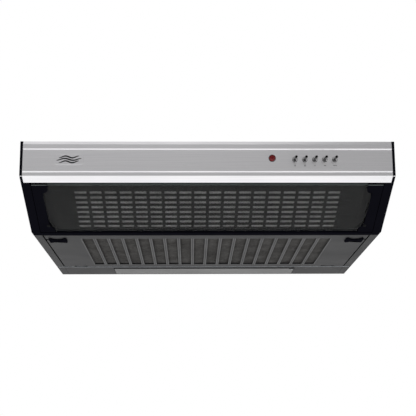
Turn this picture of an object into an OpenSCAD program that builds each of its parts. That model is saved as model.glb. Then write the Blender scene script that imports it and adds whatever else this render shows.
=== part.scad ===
// Under cabinet range hood, 60 cm wide, with a tilting glass visor and a drop-down filter panel.
// The front faces -Y and +Z is up. The origin is the centre of the four cabinet screw holes on
// the top face. Lengths are in millimetres.

/* [Body] */
// Width of the hood, over both sides
body_w = 600; // [596:2:610]
// Depth of the hood, front to back
body_d = 500; // [498:1:504]
// Height from the top face to the underside
body_h = 117.5; // [117:0.5:119]
// Thickness of the painted steel sheet
sheet = 1; // [0.8:0.1:1]

/* [Front] */
// Height of the upright fascia
fascia_h = 56.5; // [56:0.5:57]
// Lean of the fascia, its top edge forward
fascia_lean = 5; // [4.5:0.5:5.5]
// Slope of the glazed face below the horizontal
slope_deg = 25.9; // [25.5:0.1:26.3]
// Length of the bright strip below the fascia's bend
strip_l = 16; // [14:0.5:17]
// Thickness of the fascia section
fascia_t = 1.6; // [1.4:0.1:1.8]
// Width of each black cheek beside the sloping face
cheek_w = 14.5; // [14:0.5:15]

/* [Controls] */
// Radius of a push button's stem
button_r = 2.1; // [1.8:0.1:2.6]
// How far a button stands out of the fascia
button_out = 20; // [12:1:22]
// Distance between neighbouring buttons
button_pitch = 16; // [15:0.5:17]
// Middle of the first button
button_x = 139; // [136:1:141]
// Middle of the indicator lamp
indicator_x = 102.5; // [96:0.5:108]

/* [Visor] */
// Thickness of the smoked glass
glass_t = 4; // [3:0.5:4]
// Radius of each visor hinge pin
visor_pin_r = 2.5; // [2:0.25:2.5]

/* [Intake grille] */
// Slots in a row
slot_cols = 18; // [12:1:18]
// Rows of slots
slot_rows = 8; // [4:1:8]
// Width of a slot
slot_w = 19.5; // [14:0.5:20]
// Height of a slot
slot_h = 6; // [4:0.5:7]

/* [Filter panel] */
// Long openings in the filter panel
strip_count = 18; // [12:1:18]
// Distance between neighbouring openings
strip_pitch = 24.8; // [22:0.1:25]
// Width of one opening
strip_w = 19.8; // [16:0.2:20]
// Length of one opening
strip_len = 222; // [180:2:226]

/* [Blower] */
// Outer radius of the impeller
wheel_r = 72; // [68:1:73]
// Blades round the impeller
blade_count = 36; // [24:1:40]
// Radius of the motor's casing
motor_r = 40; // [36:1:41]

/* [Outlet] */
// Outer radius of the duct collar
collar_r = 60; // [58:0.5:61]
// Height of the collar above the top face
collar_h = 35; // [30:1:45]

/* [Mounting] */
// Cabinet screw holes, distance from side to side
mount_dx = 500; // [480:10:520]
// Cabinet screw holes, distance from front to back
mount_dy = 280; // [260:10:300]
// Radius of a cabinet screw hole
mount_r = 3; // [2.5:0.25:3.5]
// Wall screw holes in the back, distance from side to side
wall_dx = 400; // [360:10:440]

/* [Hidden] */
$fn = 48;
bite = 1;          // how far a cutter runs past the face it cuts
gap = 0.3;         // clearance between pieces that move past each other
run_fit = 0.05;    // radial clearance of a pin in its bore

half_w = body_w / 2;
front_y = -body_d / 2;
back_y = body_d / 2;
floor_z = -body_h;

// The fascia and the sloping face, seen from the side as [y, z]
fascia_l = fascia_h / cos(fascia_lean);
bend_y = front_y + fascia_h * tan(fascia_lean);
slope_l = (body_h - fascia_h) / sin(slope_deg);
function on_fascia(s, e) = [
    front_y + s * sin(fascia_lean) + e * cos(fascia_lean),
    -s * cos(fascia_lean) + e * sin(fascia_lean)
];
function on_slope(s, d) = [
    bend_y + s * cos(slope_deg) + d * sin(slope_deg),
    -fascia_h - s * sin(slope_deg) + d * cos(slope_deg)
];
function slope_z(y, d) =
    -fascia_h - (y - bend_y - d * sin(slope_deg)) * tan(slope_deg) + d * cos(slope_deg);

// Black front moulding
cap_t = 4.2;
moulding_d = 14;
cap_end_s = strip_l + 1;
cap_back_y = on_slope(cap_end_s, moulding_d)[0];
top_land = 4.6;
rail_front_y = -113.4;
rail_back_y = -97.6;
rail_top_z = -100;

// Controls, measured down the fascia
button_s = 30;
button_in = 14;
bezel_r = 4.3;
block_e = [7, 33];
block_x = [button_x - 10.5, button_x + 4 * button_pitch + 10.5];
block_s = [17, 43];
button_travel = 4.5;

// Visor, measured down the slope (s) and in from it (d)
glass_d = 1;
glass_x = 270;
glass_s = [22.4, 138.2];
bracket_x = [259, 284.5];
bracket_waist_x = 268;
bracket_d = 8;
hinge_s = 137.5;
hinge_d = 5;
knuckle_r = 5;
visor_screw = [268.6, 122.5];

// Intake grille behind the visor
grille_x = 256.5;
grille_s = [18, 139];
grille_d = 6.6;
col_pitch = slot_w + 5;
row_pitch = slot_h + 6.1;
first_row_s = 47.4;

// Filter panel and its hinge
panel_x = half_w - 16.6;
panel_y = [rail_back_y + 1.4, 169.2];
panel_t = 1.2;
panel_rim_z = -108;
strip_y0 = -72.5;
pivot_y = 166.5;
pivot_z = floor_z + 3.1;
pivot_pin_r = 1.5;
pivot_knuckle_r = 2.8;
hinge_x = [240.5, 261.5];
hinge_ear = 4;

// Latches
latch_y = -66;
latch_x = [247, 278.4];
grip_h = 3.1;
grip_d = 28;
waist_r = 12;
tongue_w = 6;
tongue_end_x = half_w - 14 - gap;

// Rear lamp panel and its cover
lamp_y = [171.2, back_y - sheet - 0.2];
lamp_wall_z = -101;
lens_x = 185.6;
lens_y = [186, 246];
lens_t = 2;
lens_pivot = [243.8, floor_z + 2.9];
lens_pin_r = 1.4;
tray_x = 195;
tray_top_z = -88;
lamp_axis = [212, -102];

// Blower, its housing seen from above
blower = [-110, -20];
outlet = [0, 127];
outlet_half = 65;
housing_z = [-82, -42, -4];
wall = 2;
scroll_r0 = wheel_r + 10;
scroll_growth = 42;
scroll_steps = 44;
tongue_x = -63;
eye_r = wheel_r - 14;
shaft_r = 4;
function tongue_angle(o) = acos((tongue_x - o - blower[0]) / (scroll_r0 - o));
function housing_outline(o) = concat(
    [for (k = [0:scroll_steps])
        let (t = k / scroll_steps, a = tongue_angle(o) - (tongue_angle(o) + 270) * t,
             r = scroll_r0 + scroll_growth * t - o)
        [blower[0] + r * cos(a), blower[1] + r * sin(a)]],
    [
        [outlet[0] - outlet_half + o, blower[1] + scroll_r0 + scroll_growth - o],
        [outlet[0] - outlet_half + o, outlet[1] + outlet_half - o],
        [outlet[0] + outlet_half - o, outlet[1] + outlet_half - o],
        [outlet[0] + outlet_half - o, outlet[1] - outlet_half + o],
        [tongue_x - o, outlet[1] - outlet_half + o]
    ]
);
post_at = [[-190, -20], [-110, -108], [-50, 76], [50, 180]];

// Outlet collar and flaps
collar_t = 1.8;
flap_x = 3;
flap_z = 12;
flap_pin_r = 1;
flange_r = collar_r + 14;

// Electrical parts
box_lo = [110, 20, -31];
box_hi = [190, 80, -sheet];
gland_at = [230, 190];
gland_bore_r = 4;

// ---------- helpers ----------

// A box between two opposite corners
module box(lo, hi) translate(lo) cube(hi - lo);

// The same box on both sides of the middle plane
module box_pair(lo, hi) { box(lo, hi); mirror([1, 0, 0]) box(lo, hi); }

// A side profile, drawn as [y, z], carried from x0 to x1
module along_x(x0, x1) translate([x0, 0, 0]) rotate([90, 0, 90]) linear_extrude(x1 - x0) children();

// A round bar along X
module bar_x(x0, x1, y, z, r, fn = 48) translate([x0, y, z]) rotate([0, 90, 0])
    cylinder(r = r, h = x1 - x0, $fn = fn);

// X across, Y down the slope and Z into the hood, from the bend
module slope_frame() translate([0, bend_y, -fascia_h]) rotate([-slope_deg, 0, 0]) children();

// X across, Y into the hood and Z up the fascia, from its top edge
module fascia_frame() translate([0, front_y, 0]) rotate([fascia_lean, 0, 0]) children();

// A round piece that stands out of the fascia; its Z runs outward
module out_of_fascia(x, s, e = 0) fascia_frame() translate([x, e, -s]) rotate([90, 0, 0]) children();

module on_side(side) { if (side < 0) mirror([1, 0, 0]) children(); else children(); }

module both_sides() { children(); mirror([1, 0, 0]) children(); }

module plate_outline(w, h, r) {
    square([w - 2 * r, h], center = true);
    square([w, h - 2 * r], center = true);
    for (x = [-1, 1], y = [-1, 1]) translate([x * (w / 2 - r), y * (h / 2 - r)]) circle(r, $fn = 24);
}

module ring(r_out, r_in, h) difference() {
    cylinder(r = r_out, h = h);
    translate([0, 0, -bite]) cylinder(r = r_in, h = h + 2 * bite);
}

// A round wire run through a list of points, with a square clip at each bend
module wire(points, r) {
    clip = 1.3 * r;
    for (i = [0:len(points) - 2]) {
        v = points[i + 1] - points[i];
        translate(points[i]) rotate([0, acos(v[2] / norm(v)), atan2(v[1], v[0])])
            cylinder(r = r, h = norm(v), $fn = 16);
    }
    for (i = [1:len(points) - 2]) translate(points[i]) cube(2 * clip, center = true);
}

// ---------- shell ----------

module canopy_top() color("dimgray") difference() {
    box([-half_w, front_y + top_land + 0.2, -sheet], [half_w, back_y, 0]);
    translate([outlet[0], outlet[1], -sheet - bite])
        cylinder(r = collar_r + gap, h = sheet + 2 * bite, $fn = 96);
    translate([gland_at[0], gland_at[1], -sheet - bite]) cylinder(r = 6.1, h = sheet + 2 * bite);
    for (x = [-1, 1], y = [-1, 1]) translate([x * mount_dx / 2, y * mount_dy / 2, -sheet - bite])
        cylinder(r = mount_r, h = sheet + 2 * bite);
}

module back_panel() color("dimgray") difference() {
    union() {
        box([-half_w, back_y - sheet, floor_z], [half_w, back_y, -sheet]);
        box([-half_w + 16, back_y - 13, -2 * sheet], [half_w - 16, back_y - sheet, -sheet]);
    }
    for (x = [-1, 1]) translate([x * wall_dx / 2, back_y + bite, -30]) rotate([90, 0, 0])
        cylinder(r = 4, h = sheet + 2 * bite);
}

module side_panel(side) color("dimgray") on_side(side) {
    along_x(half_w - sheet, half_w) polygon([
        [cap_back_y + 0.2, -sheet],
        [back_y - sheet, -sheet],
        [back_y - sheet, floor_z],
        [rail_back_y + 0.2, floor_z],
        [rail_back_y + 0.2, rail_top_z + 0.2],
        [rail_front_y - 0.2, rail_top_z + 0.2],
        [rail_front_y - 0.2, slope_z(rail_front_y - 0.2, moulding_d + 0.2)],
        [cap_back_y + 0.2, slope_z(cap_back_y + 0.2, moulding_d + 0.2)]
    ]);
    box([half_w - 14, rail_back_y + 0.2, floor_z], [half_w - sheet, lamp_y[0] - 1, floor_z + sheet]);
    box([half_w - 14, -200, -2 * sheet], [half_w - sheet, back_y - 14, -sheet]);
}

// ---------- black front moulding ----------

module front_rail() color("black") difference() {
    box([-half_w, rail_front_y, floor_z], [half_w, rail_back_y, rail_top_z]);
    box([-half_w + 3, rail_front_y + 2.5, floor_z + 3], [half_w - 3, rail_back_y - 2.5, 0]);
}

module cheek(side) color("black") on_side(side) difference() {
    union() {
        along_x(half_w - cheek_w, half_w) polygon([
            on_slope(cap_end_s + 0.3, 0),
            on_slope(slope_l, 0),
            [rail_front_y - 0.2, floor_z],
            [rail_front_y - 0.2, slope_z(rail_front_y - 0.2, moulding_d)],
            on_slope(cap_end_s + 0.3, moulding_d)
        ]);
        slope_frame() box([grille_x + 1, cap_end_s + 0.3, moulding_d - 3],
                          [half_w - cheek_w + 0.1, grille_s[1], moulding_d]);
    }
    slope_frame() bar_x(half_w - cheek_w - bite, half_w - 3, hinge_s, hinge_d, visor_pin_r);
}

module end_cap(side) color("black") on_side(side) difference() {
    along_x(half_w - cap_t, half_w) polygon([
        [front_y + top_land, 0],
        [front_y + 1, 0],
        on_fascia(1.2, 0),
        on_fascia(fascia_l, 0),
        on_slope(cap_end_s, 0),
        on_slope(cap_end_s, moulding_d),
        [cap_back_y, -sheet],
        [front_y + top_land, -sheet]
    ]);
    // screw recess in the hidden inner face
    fascia_frame() bar_x(half_w - cap_t - bite, half_w - 1.2, 14, -28, 2);
}

// ---------- fascia and controls ----------

module fascia_panel() color("silver") difference() {
    along_x(-half_w + cap_t + 0.2, half_w - cap_t - 0.2) polygon(concat(
        [[front_y + 1.6, 0], on_fascia(5, 0)],
        [for (s = [12.1, fascia_l - 7.6], p = [[0, 0], [2.1, 1], [2.6, 0]]) on_fascia(s + p[0], p[1])],
        [
            on_fascia(fascia_l, 0),
            on_slope(strip_l, 0),
            on_slope(strip_l, fascia_t),
            on_fascia(fascia_l - fascia_t * tan((90 - fascia_lean - slope_deg) / 2), fascia_t),
            on_fascia(7, fascia_t),
            [front_y + 6, -sheet - 1.5],
            [cap_back_y - 8, -sheet - 1.5],
            [cap_back_y - 8, -sheet],
            [front_y + top_land, -sheet],
            [front_y + top_land, 0]
        ]
    ));
    for (i = [0:4]) out_of_fascia(button_x + i * button_pitch, button_s, 4) cylinder(r = 3.6, h = 6);
    out_of_fascia(indicator_x, button_s - 2, 4) cylinder(r = 4.6, h = 6);
}

module badge_plate() color("gainsboro") out_of_fascia(-222, 30, -0.02) linear_extrude(0.8)
    plate_outline(46, 18, 3);

module indicator_lamp() color("firebrick") out_of_fascia(indicator_x, button_s - 2) {
    rotate_extrude() polygon([[0, 0], [5.4, 0], [5.4, 0.8], [4.3, 2.9], [2.1, 4], [0, 4]]);
    translate([0, 0, -15]) cylinder(r = 4.5, h = 15.1);
}

module button_bezels() color("silver") for (i = [0:4])
    out_of_fascia(button_x + i * button_pitch, button_s) {
        ring(bezel_r, button_r + 0.3, 1.2);
        translate([0, 0, -fascia_t]) ring(3.55, button_r + 0.3, fascia_t + 0.1);
    }

module push_button(i) color("black") out_of_fascia(button_x + i * button_pitch, button_s, button_in)
    rotate_extrude() polygon([
        [0, 0], [button_r, 0], [button_r, button_in + button_out - 0.8],
        [button_r - 0.8, button_in + button_out], [0, button_in + button_out]
    ]);

module switch_block() color("darkslategray") difference() {
    fascia_frame() box([block_x[0], block_e[0], -block_s[1]], [block_x[1], block_e[1], -block_s[0]]);
    for (i = [0:4]) out_of_fascia(button_x + i * button_pitch, button_s, button_in + button_travel + 1.5)
        cylinder(r = button_r + 0.08, h = 20);
}

module switch_bracket() color("darkgray") {
    fascia_frame() box([block_x[0] - 3, block_e[1], -block_s[1]], [block_x[1] + 3, block_e[1] + 1.2, -4.1]);
    box([block_x[0] - 3, on_fascia(4, block_e[1])[0], -sheet - 1.2],
        [block_x[1] + 3, on_fascia(4, block_e[1])[0] + 20, -sheet]);
}

// ---------- visor ----------

module visor_glass() color("#3a3f40") slope_frame() difference() {
    translate([0, 0, glass_d]) linear_extrude(glass_t) polygon([
        [-glass_x, glass_s[0]], [glass_x, glass_s[0]], [glass_x, 131], [glass_x - 12, glass_s[1]],
        [-glass_x + 12, glass_s[1]], [-glass_x, 131]
    ]);
    both_sides() translate([visor_screw[0], visor_screw[1], 0]) cylinder(r = 1.7, h = 20, center = true, $fn = 24);
}

module visor_bracket(side) color("black") on_side(side) slope_frame() difference() {
    union() {
        linear_extrude(bracket_d) polygon(concat(
            [[bracket_x[1], 21.5], [bracket_x[0], 21.5], [bracket_x[0], 32]],
            [for (a = [0:15:90]) [bracket_waist_x - 9 * cos(a), 32 + 9 * sin(a)]],
            [[bracket_waist_x + 0.5, 60], [bracket_waist_x - 0.8, 116], [bracket_x[0] + 5, 125],
             [bracket_x[0], 132], [bracket_x[0], hinge_s], [bracket_x[1], hinge_s]]
        ));
        bar_x(bracket_x[0], bracket_x[1], hinge_s, hinge_d, knuckle_r);
    }
    // groove for the glass
    translate([0, 0, glass_d - 0.1]) linear_extrude(glass_t + 0.2) polygon([
        [0, glass_s[0] - 0.1], [glass_x + 0.15, glass_s[0] - 0.1], [glass_x + 0.15, 131.1],
        [glass_x - 11.9, glass_s[1] + 0.1], [0, glass_s[1] + 0.1]
    ]);
    bar_x(bracket_x[0] + 13, bracket_x[1] + bite, hinge_s, hinge_d, visor_pin_r + run_fit);
    translate([visor_screw[0], visor_screw[1], -bite]) cylinder(r = 1.55, h = bracket_d - 0.4 + bite, $fn = 24);
}

module visor_screws() color("silver") both_sides() slope_frame()
    translate([visor_screw[0], visor_screw[1], 0]) {
        rotate([180, 0, 0]) rotate_extrude($fn = 32) polygon([[0, 0], [2.6, 0], [2.4, 0.8], [1.6, 1.3], [0, 1.5]]);
        cylinder(r = 1.5, h = bracket_d - 0.5, $fn = 24);
    }

module visor_pins() color("silver") both_sides() slope_frame()
    bar_x(bracket_x[0] + 14, half_w - 3.1, hinge_s, hinge_d, visor_pin_r);

module intake_grille() color("darkslategray") slope_frame() difference() {
    union() {
        box([-grille_x, grille_s[0], grille_d], [grille_x, grille_s[1], grille_d + sheet]);
        for (s = [grille_s[0], grille_s[1] - sheet])
            box([-grille_x, s, grille_d], [grille_x, s + sheet, moulding_d]);
        box_pair([grille_x - sheet, grille_s[0], grille_d], [grille_x, grille_s[1], moulding_d]);
    }
    for (c = [0:slot_cols - 1], r = [0:slot_rows - 1])
        translate([(c - (slot_cols - 1) / 2) * col_pitch - slot_w / 2,
                   first_row_s + r * row_pitch - slot_h / 2, grille_d - bite])
            cube([slot_w, slot_h, sheet + 2 * bite]);
}

module grille_filter() color("gray") slope_frame()
    box([-250, grille_s[0] + 8, grille_d + sheet + 0.6], [250, grille_s[1] - 3, grille_d + sheet + 2.6]);

// ---------- filter panel ----------

module filter_panel() color("gray") {
    difference() {
        union() {
            box([-panel_x, panel_y[0], floor_z], [panel_x, panel_y[1], floor_z + panel_t]);
            for (y = [panel_y[0], panel_y[1] - panel_t])
                box([-panel_x, y, floor_z], [panel_x, y + panel_t, panel_rim_z]);
            box_pair([panel_x - panel_t, panel_y[0], floor_z], [panel_x, panel_y[1], panel_rim_z]);
        }
        for (i = [0:strip_count - 1])
            translate([(i - (strip_count - 1) / 2) * strip_pitch - strip_w / 2, strip_y0, floor_z - bite])
                cube([strip_w, strip_len, panel_t + 2 * bite]);
        // latch slots, open at the panel's edge
        box_pair([latch_x[0] + 2, latch_y - tongue_w / 2 - gap, floor_z - bite],
                 [panel_x + bite, latch_y + tongue_w / 2 + gap, floor_z + 5]);
        // room for the hinge ears
        box_pair([hinge_x[0] - 2.5, 160, floor_z - bite], [hinge_x[1] + 2.5, panel_y[1] + bite, 0]);
    }
    both_sides() difference() {
        union() {
            box([hinge_x[0] + hinge_ear + 0.5, 156, floor_z],
                [hinge_x[1] - hinge_ear - 0.5, pivot_y - 1, floor_z + 2.4]);
            bar_x(hinge_x[0] + hinge_ear + 0.5, hinge_x[1] - hinge_ear - 0.5, pivot_y, pivot_z, pivot_knuckle_r);
        }
        bar_x(hinge_x[0], hinge_x[1], pivot_y, pivot_z, pivot_pin_r + run_fit);
    }
}

module panel_hinge_pins() color("silver") both_sides()
    bar_x(hinge_x[0], hinge_x[1], pivot_y, pivot_z, pivot_pin_r);

module grease_filter() color("silver")
    box([-224, -77, floor_z + 2.9], [224, 155, floor_z + 4.4]);

module filter_retainers() color("silver") for (y = [-46, 39, 124])
    box([-panel_x + panel_t, y - 3, floor_z + 4.6], [panel_x - panel_t, y + 3, floor_z + 5.6]);

// A sliding latch: a waisted grip below the panel and a tongue above it
module latch(side) color("black") on_side(side) {
    mid_x = (latch_x[0] + latch_x[1]) / 2;
    top_z = floor_z + panel_t + gap;
    translate([mid_x, latch_y, floor_z - grip_h - gap]) linear_extrude(grip_h) difference() {
        plate_outline(latch_x[1] - latch_x[0], grip_d, 5);
        for (y = [-1, 1]) translate([0, y * (waist_r + 4)]) circle(waist_r, $fn = 64);
    }
    box([latch_x[0] + 9, latch_y - 2.7, floor_z - gap - 0.1], [latch_x[0] + 25, latch_y + 2.7, top_z + 0.1]);
    box([latch_x[0] + 5, latch_y - 6, top_z], [latch_x[0] + 22, latch_y + 6, top_z + 2]);
    box([latch_x[0] + 5, latch_y - tongue_w / 2 + gap, top_z], [tongue_end_x, latch_y + tongue_w / 2 - gap, top_z + 2.4]);
}

// ---------- lamp panel ----------

module lamp_panel() color("gray") {
    difference() {
        union() {
            box([-half_w + 1.2, lamp_y[0], floor_z], [half_w - 1.2, lamp_y[1], floor_z + panel_t]);
            box([-half_w + 1.2, lamp_y[0], floor_z], [half_w - 1.2, lamp_y[0] + panel_t, lamp_wall_z]);
        }
        box([-lens_x - 0.9, lens_y[0] - 0.9, floor_z - bite], [lens_x + 0.9, lens_y[1] + 1.2, floor_z + panel_t + bite]);
    }
    // ears that carry the cover's trunnions
    both_sides() difference() {
        box([lens_x + 1.2, lens_y[1] - 6, floor_z + panel_t - 0.1], [lens_x + 4.4, lens_y[1] + 1, floor_z + 6]);
        bar_x(lens_x, lens_x + 6, lens_pivot[0], lens_pivot[1], lens_pin_r + run_fit, 32);
    }
    // ears that carry the filter panel's hinge pins
    both_sides() for (x = [hinge_x[0], hinge_x[1] - hinge_ear]) difference() {
        union() {
            bar_x(x, x + hinge_ear, pivot_y, pivot_z, pivot_knuckle_r);
            along_x(x, x + hinge_ear) polygon([
                [pivot_y - 1.4, pivot_z + 2.3], [lamp_y[0] + 0.2, -104], [lamp_y[0] + 0.2, -111],
                [pivot_y + 2.3, pivot_z + 1.4]
            ]);
        }
        bar_x(x - bite, x + hinge_ear + bite, pivot_y, pivot_z, pivot_pin_r);
    }
}

module lamp_lens() color("whitesmoke") {
    difference() {
        box([-lens_x, lens_y[0], floor_z], [lens_x, lens_y[1], floor_z + lens_t]);
        // finger notch
        translate([lens_x - 14, lens_y[0] - 3, floor_z - bite]) cylinder(r = 7, h = lens_t + 2 * bite);
    }
    both_sides() {
        box([lens_x - 5, lens_y[1] - 5.4, floor_z + lens_t - 0.1], [lens_x, lens_y[1], floor_z + 4.6]);
        bar_x(lens_x - 1, lens_x + 3.9, lens_pivot[0], lens_pivot[1], lens_pin_r, 32);
    }
}

module lamp_tray() color("gainsboro") difference() {
    box([-tray_x, lamp_y[0] + 5.3, floor_z + panel_t], [tray_x, lamp_y[1] - 0.2, tray_top_z]);
    box([-tray_x + 0.8, lamp_y[0] + 6.1, floor_z], [tray_x - 0.8, lamp_y[1] - 1, tray_top_z - 0.8]);
}

module lamp_holders() color("white") both_sides() difference() {
    bar_x(tray_x - 26.5, tray_x - 0.8, lamp_axis[0], lamp_axis[1], 12.4);
    bar_x(tray_x - 28, tray_x - 8, lamp_axis[0], lamp_axis[1], 7.1);
}

module lamp_bulbs() color("ivory") both_sides() translate([tray_x - 9, lamp_axis[0], lamp_axis[1]])
    rotate([0, -90, 0]) rotate_extrude() polygon([
        [0, 0], [3, 0], [6.9, 3], [6.9, 18], [8.5, 22], [11, 27], [11, 76], [9.6, 82], [6, 86], [0, 87.5]
    ]);

// ---------- blower ----------

module blower_housing_top() color("#2c2d30") difference() {
    union() {
        translate([0, 0, housing_z[1]]) linear_extrude(housing_z[2] - housing_z[1]) polygon(housing_outline(0));
        for (p = post_at) translate([p[0], p[1], housing_z[2] - 0.1])
            cylinder(r = 6, h = -sheet - housing_z[2] + 0.1, $fn = 32);
    }
    translate([0, 0, housing_z[1] - bite])
        linear_extrude(housing_z[2] - wall - housing_z[1] + bite) polygon(housing_outline(wall));
    translate([blower[0], blower[1], housing_z[1]]) cylinder(r = motor_r + 6, h = 50, $fn = 64);
    translate([outlet[0], outlet[1], housing_z[1]]) cylinder(r = collar_r - collar_t, h = 50, $fn = 96);
    for (p = post_at) translate([p[0], p[1], housing_z[1]]) cylinder(r = 2.1, h = 50, $fn = 24);
}

module blower_housing_bottom() color("#2c2d30") difference() {
    translate([0, 0, housing_z[0]]) linear_extrude(housing_z[1] - housing_z[0] - 0.1) polygon(housing_outline(0));
    translate([0, 0, housing_z[0] + wall]) linear_extrude(80) polygon(housing_outline(wall));
    translate([blower[0], blower[1], housing_z[0] - bite]) cylinder(r = eye_r + 4, h = 5, $fn = 64);
}

module inlet_ring() color("#3a3b3e") translate([blower[0], blower[1], housing_z[0]])
    rotate_extrude($fn = 96) polygon([
        [eye_r + 16, -2], [eye_r + 16, 0], [eye_r + 1.6, 0], [eye_r, 4], [eye_r - 2, 4], [eye_r - 1, 0.6], [eye_r + 2, -2]
    ]);

module impeller() color("#404247") translate([blower[0], blower[1], 0]) {
    difference() {
        union() {
            translate([0, 0, -14]) ring(wheel_r, motor_r + 4, 2);
            translate([0, 0, -55.5]) ring(motor_r + 6, motor_r + 4, 43);
            translate([0, 0, -55.5]) cylinder(r = motor_r + 6, h = 2.5);
            translate([0, 0, -70]) cylinder(r = 9, h = 16);
            translate([0, 0, -76]) ring(wheel_r, eye_r + 2, 2);
            for (i = [0:blade_count - 1]) rotate([0, 0, i * 360 / blade_count])
                translate([eye_r + 2.5, 0, -75]) rotate([0, 0, 38]) translate([0, -0.6, 0]) cube([13.2, 1.2, 62]);
        }
        translate([0, 0, -80]) cylinder(r = shaft_r, h = 40);
    }
}

module motor_casing() color("lightgray") translate([blower[0], blower[1], 0]) difference() {
    translate([0, 0, -50]) cylinder(r = motor_r, h = 43, $fn = 64);
    translate([0, 0, -48]) cylinder(r = motor_r - 2, h = 39, $fn = 64);
    translate([0, 0, -51]) cylinder(r = shaft_r + 1, h = 5);
}

module motor_stator() color("dimgray") translate([blower[0], blower[1], -40]) ring(motor_r - 2, 22, 22);

module motor_rotor() color("silver") translate([blower[0], blower[1], -40]) ring(21, shaft_r, 22);

module motor_shaft() color("silver") translate([blower[0], blower[1], -72]) cylinder(r = shaft_r, h = 61);

module motor_bearings() color("silver") for (z = [-48, -16]) translate([blower[0], blower[1], z])
    ring(11, shaft_r + run_fit, 6);

module motor_plate() color("darkgray") translate([blower[0], blower[1], housing_z[2]]) difference() {
    cylinder(r = motor_r + 20, h = 1.6, $fn = 64);
    for (a = [0, 120, 240]) rotate([0, 0, a]) translate([30, 0, -bite]) cylinder(r = 2, h = 5, $fn = 24);
}

module motor_bushes() color("black") for (a = [0, 120, 240])
    translate([blower[0], blower[1], -7]) rotate([0, 0, a]) translate([30, 0, 0]) ring(6, 2, 3);

// ---------- electrical parts ----------

module capacitor() color("white") {
    bar_x(112, 158, 0, -16, 14);
    bar_x(158, 161, -4, -16, 1.6, 16);
    bar_x(158, 161, 4, -16, 1.6, 16);
    box([126, -6, -3], [142, 6, -sheet]);
}

module terminal_box() color("#d8d8d2") difference() {
    box(box_lo, box_hi);
    box(box_lo + [2, 2, -bite], box_hi - [2, 2, 2]);
    for (x = [box_lo[0] + 5, box_hi[0] - 5]) translate([x, 50, box_lo[2] - bite]) cylinder(r = 1.4, h = 9, $fn = 16);
}

module terminal_lid() color("#d8d8d2") difference() {
    box([box_lo[0], box_lo[1], box_lo[2] - 2], [box_hi[0], box_hi[1], box_lo[2]]);
    for (x = [box_lo[0] + 5, box_hi[0] - 5]) translate([x, 50, box_lo[2] - 5]) cylinder(r = 2, h = 9, $fn = 16);
}

module cable_gland() color("#202124") translate([gland_at[0], gland_at[1], 0]) difference() {
    union() {
        cylinder(r = 10, h = 4, $fn = 6);
        translate([0, 0, 3]) cylinder(r = 8, h = 9);
        translate([0, 0, -9]) cylinder(r = 6, h = 10);
        translate([0, 0, -sheet - 4]) cylinder(r = 10, h = 4, $fn = 6);
    }
    translate([0, 0, -20]) cylinder(r = gland_bore_r, h = 40);
}

module wiring() color("gainsboro") {
    wire([[172, 19.8, -12], [172, -50, -12], [225, -150, -8], [225, -226, -27],
        [block_x[1] + 0.4, -226, -27]], 2.5);
    wire([[150, 80.2, -14], [150, 92, -14], [230, 150, -30], [230, 190, -22], [230, 190, -9.2]], 2.5);
    wire([[109.8, 45, -10], [103, 45, -10], [70, 20, -4.2], [30, 0, -2.5], [-49, -20, -2.5]], 1);
    wire([[190.2, 50, -18], [199, 50, -18], [240, 120, -50], [240, 205, -96], [tray_x + 0.2, 205, -100]], 2);
}

// ---------- outlet ----------

module outlet_collar() color("lightgray") translate([outlet[0], outlet[1], 0]) difference() {
    union() {
        translate([0, 0, housing_z[2] + 0.2]) cylinder(r = collar_r, h = collar_h - housing_z[2] - 0.2, $fn = 96);
        cylinder(r = flange_r, h = 2, $fn = 96);
    }
    translate([0, 0, -10]) cylinder(r = collar_r - collar_t - 2, h = 80, $fn = 96);
    // the bore opens out above the ledge that the flaps rest on
    translate([0, 0, flap_z - 1.1]) cylinder(r = collar_r - collar_t, h = 80, $fn = 96);
    translate([0, 0, -10]) cylinder(r = collar_r - collar_t, h = 18, $fn = 96);
    for (x = [-flap_x, flap_x]) translate([x, 0, flap_z]) rotate([90, 0, 0])
        cylinder(r = flap_pin_r, h = 2 * collar_r - 1.4, center = true, $fn = 24);
    for (a = [45:90:315]) rotate([0, 0, a]) translate([flange_r - 6.5, 0, -bite]) cylinder(r = 2.2, h = 5, $fn = 24);
}

module damper_flap(side) color("silver") translate([outlet[0], outlet[1], flap_z]) on_side(side) difference() {
    union() {
        translate([0, 0, -0.6]) linear_extrude(1.2) difference() {
            circle(collar_r - collar_t - 1, $fn = 96);
            translate([-200, -200]) square([200 + flap_x + 1.6, 400]);
        }
        translate([flap_x, 0, 0]) rotate([90, 0, 0]) cylinder(r = 2.2, h = 100, center = true, $fn = 24);
    }
    translate([flap_x, 0, 0]) rotate([90, 0, 0]) cylinder(r = flap_pin_r + run_fit, h = 140, center = true, $fn = 24);
}

module damper_pins() color("silver") translate([outlet[0], outlet[1], flap_z])
    for (x = [-flap_x, flap_x]) translate([x, 0, 0]) rotate([90, 0, 0])
        cylinder(r = flap_pin_r, h = 2 * collar_r - 1.6, center = true, $fn = 24);

module pan_screw(head_r, shank_r, length) {
    rotate_extrude($fn = 24) polygon([[0, 0], [head_r, 0], [head_r * 0.9, 1], [head_r * 0.5, 1.6], [0, 1.8]]);
    translate([0, 0, -length]) cylinder(r = shank_r, h = length + 0.1, $fn = 24);
}

module collar_screws() color("silver") translate([outlet[0], outlet[1], 2]) for (a = [45:90:315])
    rotate([0, 0, a]) translate([flange_r - 6.5, 0, 0]) pan_screw(3.6, 2.1, 2);

module blower_screws() color("silver") {
    for (p = post_at) translate([p[0], p[1], housing_z[2] - wall]) rotate([180, 0, 0]) pan_screw(4, 2, 4.9);
    for (x = [box_lo[0] + 5, box_hi[0] - 5]) translate([x, 50, box_lo[2] - 2]) rotate([180, 0, 0])
        pan_screw(3.2, 1.3, 2 + 6);
}

// ---------- nodes ----------

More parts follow.
